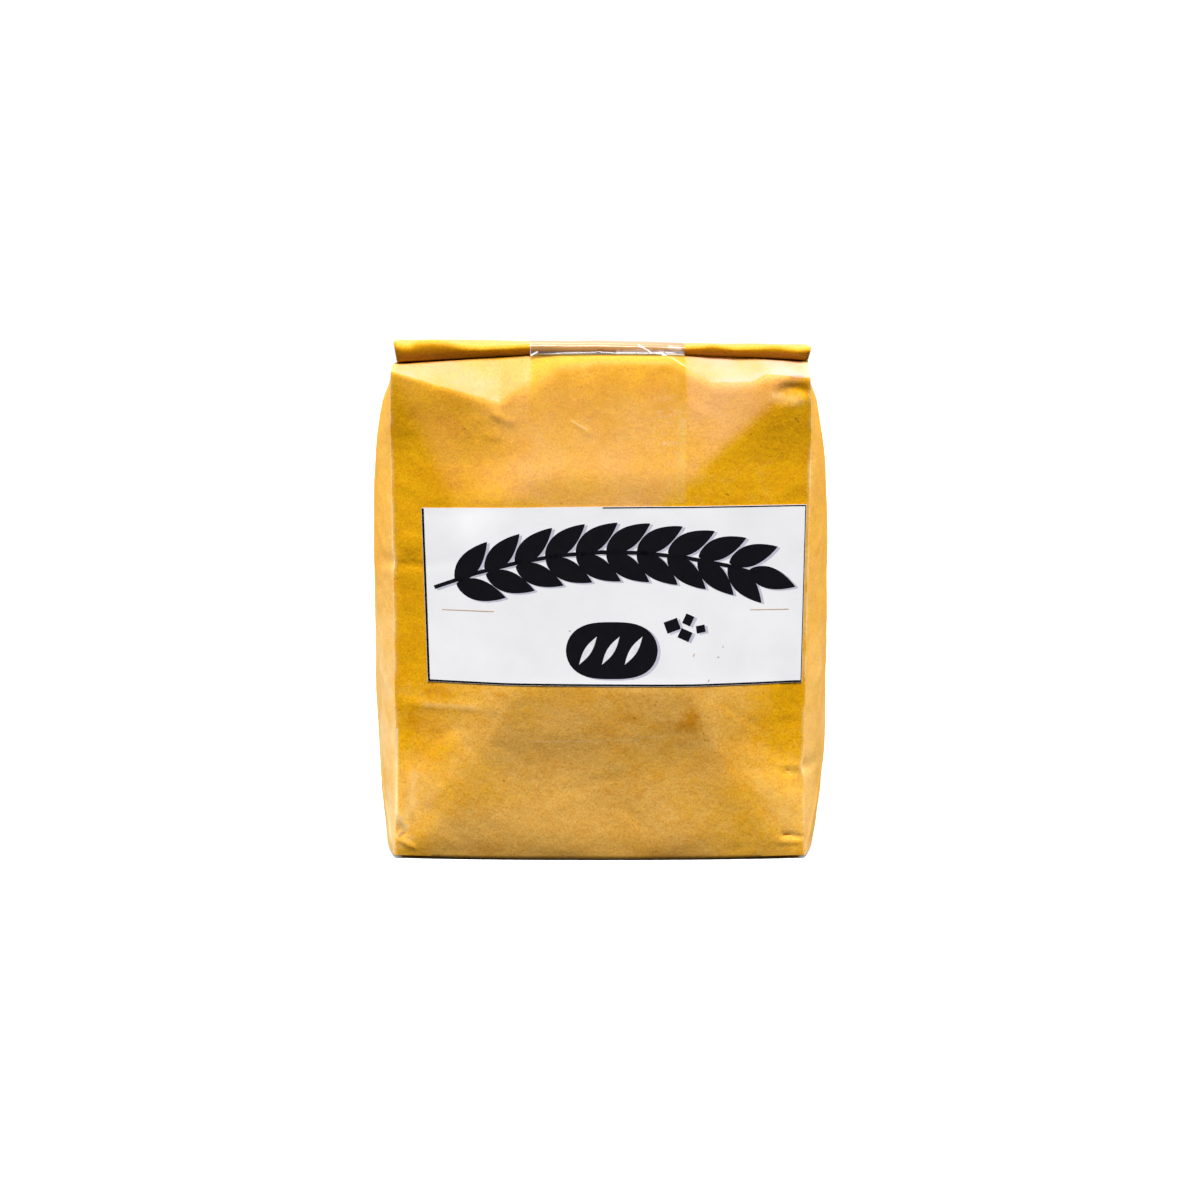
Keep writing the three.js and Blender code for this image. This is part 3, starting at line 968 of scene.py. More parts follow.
@dataclass
class RolledTop:
    """The bag's mouth, flattened and rolled forwards twice, with all its layers of paper.

    Sizes are in millimetres. The roll's section is a flattened spiral in y and z.
    """

    left: float = -78.8
    right: float = 80.6
    layers: int = 4
    layer_pitch: float = 0.3
    paper: float = 0.2
    stations: int = 110
    top_line: Table = ((-80, 199.4), (0, 198.7), (81, 197.4))
    front_edge: Table = (
        *((-79, 1.0), (-77, -0.2), (-73, -0.4), (-69.6, 1.1), (-64, 1.3), (-60, 0.9)),
        *((-51, -0.8), (-45, -1.2), (-39, -0.8), (-27, 0.0), (31, -0.3), (39, 0.2)),
        *((43, 0.8), (52, -0.3), (60, 0.0), (67, 0.7), (76, -0.4), (81, 0.3)),
    )
    corners: Table = (
        *((-8.0, 188.4), (-6.3, 191.2), (-5.3, 194.2), (-6.5, 197.2), (-16.5, 197.0), (-26.4, 196.6)),
        *((-28.2, 195.2), (-27.4, 192.9), (-25.2, 190.7), (-15.5, 190.7), (-8.9, 191.2), (-8.1, 193.2)),
        *((-9.3, 195.4), (-17.5, 195.3), (-25.3, 195.0), (-25.9, 194.2), (-24.4, 192.5)),
        *((-17.5, 192.6), (-11.1, 192.9)),
    )
    foot: float = 190.8
    thickness: float = 6.2

    def spiral(self) -> Path:
        """Round off the corners of the roll's section.

        Returns:
            The outer layer's section, as a smooth run of points in y and z.
        """
        points = [Vector((y, z)) for y, z in self.corners]
        for _ in range(3):
            cut = [points[0]]
            for a, b in zip(points, points[1:]):
                cut += [a.lerp(b, 0.25), a.lerp(b, 0.75)]
            points = [*cut, points[-1]]
        return points

    def ripple(self, x: float) -> float:
        """Return the small waves of the roll along its length."""
        return 0.28 * math.sin(0.105 * x + 0.9) + 0.16 * math.sin(0.31 * x + 2.0)

    def build(self) -> Piece:
        """Build the layers of the roll and join them.

        Returns:
            The rolled top.
        """
        section = self.spiral()
        sheets = []
        for index in range(self.layers):
            inwards = index * self.layer_pitch
            ends = (self.left + 0.5 * math.sin(2.1 * index), self.right - 0.5 * math.cos(1.7 * index))
            sheets.append(self.layer(f"rolled_top_{index}", self.offset(section, inwards), ends))
        roll = joined("rolled_top", sheets)
        shade(roll, 40.0)
        return roll

    def offset(self, section: Path, distance: float) -> Path:
        """Move a section to the inner side of the spiral.

        Args:
            section: The points to move.
            distance: How far to move them.

        Returns:
            The moved points.
        """
        moved = []
        for index, point in enumerate(section):
            before, after = section[max(0, index - 1)], section[min(len(section) - 1, index + 1)]
            along = (after - before).normalized()
            moved.append(point + Vector((-along.y, along.x)) * distance)
        return moved

    def layer(self, name: str, section: Path, ends: Pair) -> Piece:
        """Build one layer of paper along the roll.

        Args:
            name: The new object's name.
            section: The layer's run of points in y and z.
            ends: Where the layer starts and ends along x.

        Returns:
            The layer.
        """
        count = len(section) - 1

        def place(share: float, around: float) -> Vector:
            """Return a point of the layer, drawn in at the ends of the roll's lower front."""
            point = section[round(around * count)]
            x = lerp(ends[0], ends[1], share)
            y, z = self.shaped(x, point.x, point.y)
            at_end = abs(2.0 * share - 1.0) ** 10
            slant = at_end * 1.4 * clamp((196.9 - point.y) / 5.0) * clamp((-9.5 - point.x) / 18.0)
            return Vector((x - math.copysign(slant, share - 0.5), y, z))

        sheet = grid(name, self.stations, count, place)
        tones = [self.tone(point) for point in section]
        set_tone(sheet, (tones[vertex.index // (self.stations + 1)] for vertex in sheet.data.vertices))
        add_modifier(sheet, "SOLIDIFY", thickness=self.paper * MM, offset=0.0)
        return sheet

    def tone(self, point: Vector) -> float:
        """Work out the paper's tone at a point of the section.

        Args:
            point: The point, in y and z.

        Returns:
            The tone: below 0, painted shade on the front and underside; above 0, painted light on the top.
        """
        front = smoothstep(-point.x, 23.5, 26.5) * (1.0 - smoothstep(point.y, 191.0, 196.2))
        below = 1.0 - smoothstep(point.y, 190.6, 191.6)
        return 0.3 * smoothstep(point.y, 195.6, 196.5) - 0.85 * max(front, below)

    def shaped(self, x: float, y: float, z: float) -> Pair:
        """Return where a point of the section lies at one place along the roll.

        Args:
            x: Place along the roll.
            y: The point's y.
            z: The point's z.

        Returns:
            Its y and z there, rippled and fitted between the crevice and the top line.
        """
        low, high = between(x, CREVICE), between(x, self.top_line) + 0.4 * self.ripple(x)
        forward = clamp(-(y + 8.0) / 20.0)
        y_moved = y + 0.5 * self.ripple(1.7 * x + 20.0) * forward
        if z < self.foot:
            return y_moved, z + low - self.foot
        up = (z - self.foot) / self.thickness
        waved = 0.8 * between(x, self.front_edge) * smoothstep(-y, 18.0, 26.0) * smoothstep(up, 0.25, 0.7)
        return y_moved, lerp(low, high, up) + waved


@dataclass
class Strip:
    """The clear tape: up the front, over the roll and down the back. Millimetres."""

    left: float = TAPE_LEFT
    right: float = TAPE_RIGHT
    front_end: float = 138.6
    back_end: float = 144.8
    lifts_at: Pair = (1.38, 1.86)
    film: float = 0.06
    gap: float = 0.1
    over_roll: Table = (
        *((-27.9, 193.0), (-28.35, 194.4), (-28.2, 195.6), (-27.2, 196.5), (-25.8, 196.9), (-16.5, 197.25)),
        *((-7.5, 197.3), (-6.3, 196.7), (-5.5, 195.6), (-5.2, 194.2), (-5.4, 192.8)),
    )
    over_lap: float = 0.24
    columns: int = 40
    rows: int = 150

    def run(self, bag: PaperBag, roll: RolledTop, x: float) -> Path:
        """Follow the tape at one place across it.

        Args:
            bag: The bag under it.
            roll: The roll under it.
            x: The place.

        Returns:
            Its run from the front end to the back one, as points in y and z.
        """
        across = x / bag.half_width

        def leg(panel: Panel, end: float, lifts_at: float, over: float) -> Path:
            """Return the run up one panel, from the tape's end to where it lifts off."""
            first = end / bag.shoulder_height(panel, x)
            rows = [lerp(first, lifts_at, step / 80.0) for step in range(81)]
            points = (bag.panel_point(panel, across, row, self.gap + self.film + over) for row in rows)
            return [Vector((point.y, point.z)) for point in points]

        crest = [Vector(roll.shaped(x, y, z)) for y, z in self.over_roll]
        front = leg(FRONT, self.front_end, self.lifts_at[0], 0.0)
        on_lap = plateau(x, 5.25, 24.75, 0.75)
        back = leg(BACK, self.back_end, self.lifts_at[1], self.over_lap * on_lap)
        return [*front, *crest, *reversed(back)]

    def even(self, points: Path) -> Path:
        """Return a run with as many points as the tape has rows, at even distances."""
        lengths = [0.0]
        for a, b in zip(points, points[1:]):
            lengths.append(lengths[-1] + (b - a).length)
        spaced, at = [], 0
        for row in range(self.rows + 1):
            target = lengths[-1] * row / self.rows
            while at < len(lengths) - 2 and lengths[at + 1] < target:
                at += 1
            span = max(1e-6, lengths[at + 1] - lengths[at])
            spaced.append(points[at].lerp(points[at + 1], clamp((target - lengths[at]) / span)))
        return spaced

    def build(self, bag: PaperBag, roll: RolledTop) -> Piece:
        """Lay the tape over the bag and the roll.

        Args:
            bag: The bag under it.
            roll: The roll under it.

        Returns:
            The tape.
        """
        places = [lerp(self.left, self.right, column / self.columns) for column in range(self.columns + 1)]
        runs = [self.even(self.run(bag, roll, x)) for x in places]

        def place(share: float, up: float) -> Vector:
            """Return a point of the tape, whose two long edges waver a little."""
            point = runs[round(share * self.columns)][round(up * self.rows)]
            wobble = 0.25 * math.sin(up * 9.0) if share in (0.0, 1.0) else 0.0
            return Vector((lerp(self.left, self.right, share) + wobble, point.x, point.y))

        tape = grid("clear_tape", self.columns, self.rows, place)
        shade(tape, 60.0)
        return tape


@dataclass
class GluedSheets:
    """The paper glued on the bag: the flaps of its base and the lap down its back. Millimetres."""

    paper: float = 0.18
    seam_left: float = 6.0
    seam_right: float = 24.0
    flap_inset: float = 2.2

    def flap(self, name: str, bag: PaperBag, side: int, past_middle: float, low: float) -> Piece:
        """Lay one flap under the base.

        Args:
            name: The flap's name.
            bag: The bag that it closes.
            side: -1 for the flap from the front and 1 for the one from the back.
            past_middle: How far it reaches past the middle.
            low: Height of its underside.

        Returns:
            The flap. The one from the front has slanted sides.
        """
        edge = bag.half_depth - self.flap_inset

        def point(share: float, up: float) -> Vector:
            """Return a point of the flap's underside."""
            y = lerp(-edge, past_middle, up) if side < 0 else lerp(-past_middle, edge, up)
            slant = 22.0 * smoothstep(-side * y, -edge, 2.0 * past_middle) if side < 0 else 0.0
            half = bag.half_width - self.flap_inset - slant
            return Vector(((2.0 * share - 1.0) * half, y, low + self.paper))

        flap = grid(name, 40, 16, point)
        add_modifier(flap, "SOLIDIFY", thickness=self.paper * MM, offset=-1.0)
        return flap

    def build(self, bag: PaperBag, body: Piece) -> list[Piece]:
        """Build the two flaps and the back lap.

        Args:
            bag: The bag's sizes.
            body: The bag's finished paper, which the lap is toned like.

        Returns:
            The inner flap, the outer flap and the lap.
        """
        inner = self.flap("base_flap_inner", bag, 1, 4.0, self.paper + 0.04)
        outer = self.flap("base_flap_outer", bag, -1, 16.0, 0.0)

        def point(share: float, up: float) -> Vector:
            """Return a point of the lap's outer face."""
            x = lerp(self.seam_right, self.seam_left, share)
            return bag.panel_point(BACK, x / bag.half_width, lerp(0.012, 1.86, up), 0.03 + self.paper)

        lap = grid("back_seam", 10, 170, point)
        add_modifier(lap, "SOLIDIFY", thickness=self.paper * MM, offset=-1.0)
        for flap in (inner, outer):
            set_tone(flap, (0.0 for _ in flap.data.vertices))
        set_tone(lap, copied_tone(lap, body))
        for sheet in (inner, outer, lap):
            shade(sheet, 40.0)
        return [inner, outer, lap]


@dataclass
class PaperLabel:
    """The white label on the front, and the print on it. Millimetres."""

    top_left: Pair = (-68.2, 136.2)
    top_right: Pair = (79.0, 137.3)
    bottom_left: Pair = (-66.3, 69.3)
    bottom_right: Pair = (77.8, 68.5)
    columns: int = 96
    rows: int = 44
    thickness: float = 0.16
    gap: float = 0.12
    surface: BVHTree | None = None

    def on_front(self, x: float, z: float, lift: float) -> Vector:
        """Find a place on the paper under the label, or on the label once that is laid.

        Args:
            x: Place across.
            z: Height.
            lift: How far in front of the surface the point is wanted.

        Returns:
            The point.
        """
        start = Vector((x, -80.0, z)) * MM
        place, *_ = self.surface.ray_cast(start, Vector((0.0, 1.0, 0.0)))
        if place is None:
            place, *_ = self.surface.find_nearest(Vector((x, -48.0, z)) * MM)
        return Vector((x, place.y / MM - lift, z))

    def corner_mix(self, share: float, up: float) -> Pair:
        """Find a place on the label between its four corners.

        Args:
            share: Place along it, from 0 to 1.
            up: Place up it, from 0 to 1.

        Returns:
            The place's x and z.
        """
        low = [lerp(self.bottom_left[i], self.bottom_right[i], share) for i in (0, 1)]
        high = [lerp(self.top_left[i], self.top_right[i], share) for i in (0, 1)]
        x, z = (lerp(low[i], high[i], up) for i in (0, 1))
        return x, z + 0.5 * math.sin(math.pi * share) * (2.0 * up - 1.0)

    def build(self, bag: Piece) -> Piece:
        """Lay the label on the bag's front.

        Args:
            bag: The finished bag.

        Returns:
            The label.
        """
        self.surface = BVHTree.FromObject(bag, bpy.context.evaluated_depsgraph_get())
        label = grid(
            "paper_label",
            self.columns,
            self.rows,
            lambda share, up: self.on_front(*self.corner_mix(share, up), self.gap + self.thickness),
        )
        add_modifier(label, "SMOOTH", factor=0.5, iterations=4, use_x=False, use_z=False)
        self.surface = BVHTree.FromObject(label, bpy.context.evaluated_depsgraph_get())
        add_modifier(label, "SOLIDIFY", thickness=self.thickness * MM, offset=-1.0)
        shade(label, 40.0)
        return label


class InkKind(Enum):
    """The inks of the label's print, and the dirt on it."""

    SHADOW = "shadow"
    BLACK = "black"
    WHITE = "white"
    DIRT = "dirt"


@dataclass
class LabelPrint:
    """The label's print: a wheat ear in an arch, over a loaf and crumbs. Millimetres.

    Crumbs and specks are given as x, z, size and turn in degrees, and the border's runs by
    their ends in shares of the label and their width.
    """

    label: PaperLabel
    centre: Pair = (5.6, 115.0)
    half_length: float = 62.0
    sagitta: float = 11.5
    pairs: int = 10
    grain: Pair = (19.5, 8.2)
    spread: float = 33.0
    shadow: Pair = (1.1, -0.5)
    stems: int = 8
    loaf_at: Pair = (4.5, 82.2)
    loaf_length: float = 35.0
    loaf_height: float = 22.0
    cuts_at: tuple[float, ...] = (-4.6, 4.1, 12.8)
    crumbs: tuple[Spot, ...] = (
        *((27.5, 91.8, 5.4, 20), (33.6, 94.0, 4.0, 65)),
        *((32.4, 88.2, 4.6, -25), (38.4, 90.4, 3.4, 10)),
    )
    specks: tuple[Spot, ...] = (
        *((35.8, 80.4, 1.3, 70), (45.2, 79.4, 0.9, 20), (-11.5, 89.8, 0.7, 0)),
        *((47.0, 83.3, 0.6, 40), (41.6, 70.4, 0.9, 60)),
    )
    fold_lines: Table = ((-50.5, 20.0), (65.0, 15.0))
    fold_height: float = 97.2
    runs: tuple[tuple[Pair, Pair, float], ...] = (
        ((0.0035, 0.003), (0.0035, 0.997), 0.85),
        ((0.002, 0.007), (0.998, 0.007), 0.7),
        ((0.47, 0.994), (0.998, 0.994), 0.45),
        ((0.998, 0.003), (0.998, 0.997), 0.36),
    )

    def arch(self, along: float) -> tuple[float, float, float]:
        """Find a place on the arch.

        Args:
            along: Place along it, from -1 to 1.

        Returns:
            Its x, its z and the arch's direction in degrees.
        """
        x = self.centre[0] + along * self.half_length
        z = self.centre[1] + self.sagitta * (0.42 - along * along)
        return x, z, math.degrees(math.atan(-2.0 * self.sagitta * along / self.half_length))

    def patch(
        self, outline: Callable[[float], float], length: float, place: Pair, turn: float, lift: float
    ) -> Piece:
        """Lay one flat shape on the label.

        Args:
            outline: Half the shape's width at shares of its length.
            length: The shape's length.
            place: Its centre in x and z.
            turn: Its turn in degrees.
            lift: How far it lies above the label.

        Returns:
            The shape, which follows the label's surface.
        """
        cos, sin = math.cos(math.radians(turn)), math.sin(math.radians(turn))

        def point(even: float, up: float) -> Vector:
            """Return a point of the shape, with its rows closer together near its ends."""
            share = 0.5 - 0.5 * math.cos(math.pi * even)
            along, across = (share - 0.5) * length, (2.0 * up - 1.0) * outline(share)
            x = place[0] + along * cos - across * sin
            return self.label.on_front(x, place[1] + along * sin + across * cos, lift)

        return grid("shape", 22, 4, point)

    def motifs(self, offset: Pair, lift: float) -> list[Piece]:
        """Lay the wheat ear, the loaf and the crumbs.

        Args:
            offset: How far they are moved in x and z.
            lift: How far they lie above the label.

        Returns:
            The shapes.
        """
        length, width = self.grain

        def blade(share: float) -> float:
            """Return half a grain's width."""
            return max(0.12, width / 2.0 * math.sin(math.pi * share**0.8) ** 0.85)

        def slab(share: float) -> float:
            """Return half the loaf's height."""
            return self.loaf_height / 2.0 * max(0.001, 1.0 - abs(2.0 * share - 1.0) ** 3.0) ** 0.5

        def moved(x: float, z: float) -> Pair:
            """Return a place moved by the offset."""
            return x + offset[0], z + offset[1]

        shapes = []
        for index in range(self.pairs):
            x, z, angle = self.arch(lerp(-0.9, 0.78, index / (self.pairs - 1)))
            tilt = math.radians(angle)
            for side in (-1.0, 1.0):
                away = side * length * 0.30
                spot = moved(x - away * math.sin(tilt) + 3.0, z + away * math.cos(tilt))
                shapes.append(self.patch(blade, length, spot, angle + side * self.spread, lift))
        x, z, angle = self.arch(0.97)
        shapes.append(self.patch(blade, length, moved(x, z), angle, lift))
        for index in range(self.stems):
            x, z, angle = self.arch(lerp(-0.98, 0.82, index / (self.stems - 1)))
            shapes.append(self.patch(lambda share: 0.75, 17.5, moved(x, z), angle, lift))
        shapes.append(self.patch(slab, self.loaf_length, moved(*self.loaf_at), 0.0, lift))
        for x, z, size, turn in self.crumbs:
            shapes.append(self.patch(lambda share, half=size * 0.42: half, size, moved(x, z), turn, lift))
        return shapes

    def cuts(self, lift: float) -> list[Piece]:
        """Lay the loaf's three pale cuts, a lift above the label."""

        def gash(share: float) -> float:
            """Return half a cut's width."""
            return max(0.1, 1.35 * math.sin(math.pi * share))

        return [self.patch(gash, 12.5, (x, self.loaf_at[1]), 58.0, lift) for x in self.cuts_at]

    def border(self, lift: float) -> list[Piece]:
        """Lay the thin dark line that runs around most of the label, a lift above it."""
        lines = []
        for start, end, width in self.runs:
            upright = start[0] == end[0]

            def point(share: float, up: float) -> Vector:
                """Return a point of the line."""
                x, z = self.label.corner_mix(lerp(start[0], end[0], share), lerp(start[1], end[1], share))
                across = (2.0 * up - 1.0) * width / 2.0
                spot = (x - across, z) if upright else (x, z + across)
                return self.label.on_front(*spot, lift)

            lines.append(grid("line", 90, 1, point))
        return lines

    def dirt(self, lift: float) -> list[Piece]:
        """Lay the brown specks and the two faint fold lines, a lift above the label."""
        marks = [
            self.patch(lambda share: 0.16, size, (x, z), turn, lift) for x, z, size, turn in self.specks
        ]
        for x, length in self.fold_lines:
            marks.append(self.patch(lambda share: 0.11, length, (x, self.fold_height), -0.8, lift))
        return marks

    def build(self) -> dict[InkKind, Piece]:
        """Lay the whole print.

        Returns:
            Its pieces by their ink.
        """
        shadow = joined("print_shadow", self.motifs(self.shadow, 0.02))
        black = joined("print_black", [*self.motifs((0.0, 0.0), 0.04), *self.border(0.04)])
        return {
            InkKind.SHADOW: shadow,
            InkKind.BLACK: black,
            InkKind.WHITE: joined("print_cuts", self.cuts(0.06)),
            InkKind.DIRT: joined("label_scuffs", self.dirt(0.065)),
        }


# --- Finishes --------------------------------------------------------------------------------


@dataclass(frozen=True)
class Mark:
    """A streak, stain, speck or painted highlight on a front face, as a segment in x and z. Millimetres."""

    start: Pair
    end: Pair
    width: float
    strength: float
    ragged: bool = False


def segment_group() -> bpy.types.NodeTree:
    """Make the node group that masks the places near a straight segment, or find it again.

    Returns:
        The group, which takes a point, the segment's two ends and a width, and gives 1 on the
        segment and 0 at that width from it.
    """
    name = "segment_mask"
    if name in bpy.data.node_groups:
        return bpy.data.node_groups[name]
    tree = bpy.data.node_groups.new(name, "ShaderNodeTree")
    for socket, kind in (("Point", "Vector"), ("Start", "Vector"), ("End", "Vector"), ("Width", "Float")):
        tree.interface.new_socket(socket, in_out="INPUT", socket_type="NodeSocket" + kind)
    tree.interface.new_socket("Mask", in_out="OUTPUT", socket_type="NodeSocketFloat")
    inputs, outputs = tree.nodes.new("NodeGroupInput"), tree.nodes.new("NodeGroupOutput")

    def vector(operation: str, first: Socket, second: Socket) -> bpy.types.Node:
        """Return a new vector node that combines two sockets."""
        node = tree.nodes.new("ShaderNodeVectorMath")
        node.operation = operation
        tree.links.new(first, node.inputs[0])
        tree.links.new(second, node.inputs[3 if operation == "SCALE" else 1])
        return node

    run = vector("SUBTRACT", inputs.outputs["End"], inputs.outputs["Start"]).outputs[0]
    away = vector("SUBTRACT", inputs.outputs["Point"], inputs.outputs["Start"]).outputs[0]
    share = tree.nodes.new("ShaderNodeMath")
    share.operation, share.use_clamp = "DIVIDE", True
    tree.links.new(vector("DOT_PRODUCT", away, run).outputs["Value"], share.inputs[0])
    tree.links.new(vector("DOT_PRODUCT", run, run).outputs["Value"], share.inputs[1])
    nearest = vector("SCALE", run, share.outputs[0]).outputs[0]
    distance = vector("DISTANCE", away, nearest).outputs["Value"]
    fall = tree.nodes.new("ShaderNodeMapRange")
    fall.interpolation_type = "SMOOTHSTEP"
    fall.inputs["To Min"].default_value, fall.inputs["To Max"].default_value = 1.0, 0.0
    fall.inputs["From Min"].default_value = 0.0
    tree.links.new(distance, fall.inputs["Value"])
    tree.links.new(inputs.outputs["Width"], fall.inputs["From Max"])
    tree.links.new(fall.outputs[0], outputs.inputs["Mask"])
    return tree


class Graph:
    """A material's node tree, with short calls to add and link its nodes."""

    def __init__(self, name: str) -> None:
        """Start a material with a name."""
        self.material = bpy.data.materials.new(name)
        self.material.use_nodes = True
        self.tree = self.material.node_tree
        self.tree.nodes.clear()
        self.output = self.tree.nodes.new("ShaderNodeOutputMaterial")

    def add(
        self, kind: str, inputs: dict[str | int, object] | None = None, **settings: object
    ) -> bpy.types.Node:
        """Add a node.

        Args:
            kind: The node's type without "ShaderNode".
            inputs: Values or other nodes' outputs for its sockets, by name or number.
            **settings: Values for its own properties.

        Returns:
            The new node.
        """
        node = self.tree.nodes.new("ShaderNode" + kind)
        for name, value in settings.items():
            setattr(node, name, value)
        for key, value in (inputs or {}).items():
            if isinstance(value, Socket):
                self.tree.links.new(value, node.inputs[key])
            else:
                node.inputs[key].default_value = value
        return node

    def place(self) -> Socket:
        """Return the position on the finished object, in metres."""
        return self.add("TexCoord").outputs["Object"]

    def noise(
        self, place: Socket, scale: float, detail: float, roughness: float = 0.5, bent: float = 0.0
    ) -> Socket:
        """Add a noise texture.

        Args:
            place: Where it is read.
            scale: How fine it is.
            detail: How many finer layers it has.
            roughness: How strong the finer layers are.
            bent: How far it is distorted.

        Returns:
            Its level.
        """
        inputs = {"Vector": place, "Scale": scale, "Detail": detail, "Roughness": roughness}
        return self.add("TexNoise", inputs | {"Distortion": bent}).outputs["Fac"]

    def unsettled(
        self, place: Socket, scale: float, detail: float, roughness: float, reach: float
    ) -> Socket:
        """Move a position about a little, for marks with an uneven outline.

        Args:
            place: The position.
            scale: How fine the movement is.
            detail: How many finer layers it has.
            roughness: How strong the finer layers are.
            reach: How far it goes.

        Returns:
            The moved position.
        """
        inputs = {"Vector": place, "Scale": scale, "Detail": detail, "Roughness": roughness}
        drift = self.add("TexNoise", inputs).outputs["Color"]
        centred = self.add("VectorMath", {0: drift, 1: Vector((-0.5, -0.5, -0.5))}, operation="ADD")
        shift = self.add("VectorMath", {0: centred.outputs[0], "Scale": reach}, operation="SCALE")
        return self.add("VectorMath", {0: place, 1: shift.outputs[0]}, operation="ADD").outputs[0]

    def ramp(self, value: Socket, stops: Sequence[tuple[float, object]]) -> Socket:
        """Map a value through a colour ramp.

        Args:
            value: The value.
            stops: Positions with their colours or levels, in rising order.

        Returns:
            The colour.
        """
        node = self.add("ValToRGB", {"Fac": value})
        elements = node.color_ramp.elements
        while len(elements) < len(stops):
            elements.new(0.5)
        for element, (position, colour) in zip(elements, stops):
            element.position = position
            element.color = colour if isinstance(colour, tuple) else (colour, colour, colour, 1.0)
        return node.outputs["Color"]

    def step(self, value: Socket, low: float, high: float) -> Socket:
        """Return 0 where a value is at low, 1 where it is at high and a share between them."""
        return self.add("MapRange", {0: value, 1: low, 2: high}).outputs[0]

    def mix(self, factor: object, first: object, second: object, blend: str = "MIX") -> Socket:
        """Mix two colours and return the result."""
        node = self.add("Mix", {0: factor, 6: first, 7: second}, data_type="RGBA", blend_type=blend)
        return node.outputs[2]

    def tinted(self, factor: object, colour: object, by: object) -> Socket:
        """Multiply a colour by another one, as far as a factor says, and return the result."""
        return self.mix(factor, colour, by, "MULTIPLY")

    def math(self, operation: str, first: object, second: object = 0.0) -> Socket:
        """Combine two values and return the result."""
        return self.add("Math", {0: first, 1: second}, operation=operation).outputs[0]

    def times(self, first: object, second: object) -> Socket:
        """Multiply two values."""
        return self.math("MULTIPLY", first, second)

    def plus(self, first: object, second: object) -> Socket:
        """Add two values."""
        return self.math("ADD", first, second)

    def most(self, first: object, second: object) -> Socket:
        """Return the larger of two values."""
        return self.math("MAXIMUM", first, second)

    def marked(self, place: Socket, ragged: Socket, marks: Sequence[Mark]) -> Socket:
        """Mask some marks, which lie on the side that faces forwards.

        Args:
            place: Position, in metres.
            ragged: The same position, unsettled for marks with an uneven outline.
            marks: The marks, of which the strongest counts.

        Returns:
            The mask.
        """
        flat = Vector((1.0, 0.0, 1.0))
        points = [self.add("VectorMath", {0: at, 1: flat}, operation="MULTIPLY") for at in (place, ragged)]
        total: object = 0.0
        for mark in marks:
            group = self.add("Group", node_tree=segment_group())
            self.tree.links.new(points[mark.ragged].outputs[0], group.inputs["Point"])
            for socket, spot in (("Start", mark.start), ("End", mark.end)):
                group.inputs[socket].default_value = (spot[0] * MM, 0.0, spot[1] * MM)
            group.inputs["Width"].default_value = mark.width * MM
            total = self.most(self.times(group.outputs[0], mark.strength), total)
        y = self.add("SeparateXYZ", {"Vector": place}).outputs["Y"]
        return self.times(total, self.step(y, -0.024, -0.027))

    def close(self, inputs: dict[str, object]) -> Material:
        """Add the final shader.

        Args:
            inputs: Values or other nodes' outputs for its sockets.

        Returns:
            The finished material.
        """
        shader = self.add("BsdfPrincipled", inputs)
        self.tree.links.new(shader.outputs[0], self.output.inputs["Surface"])
        return self.material


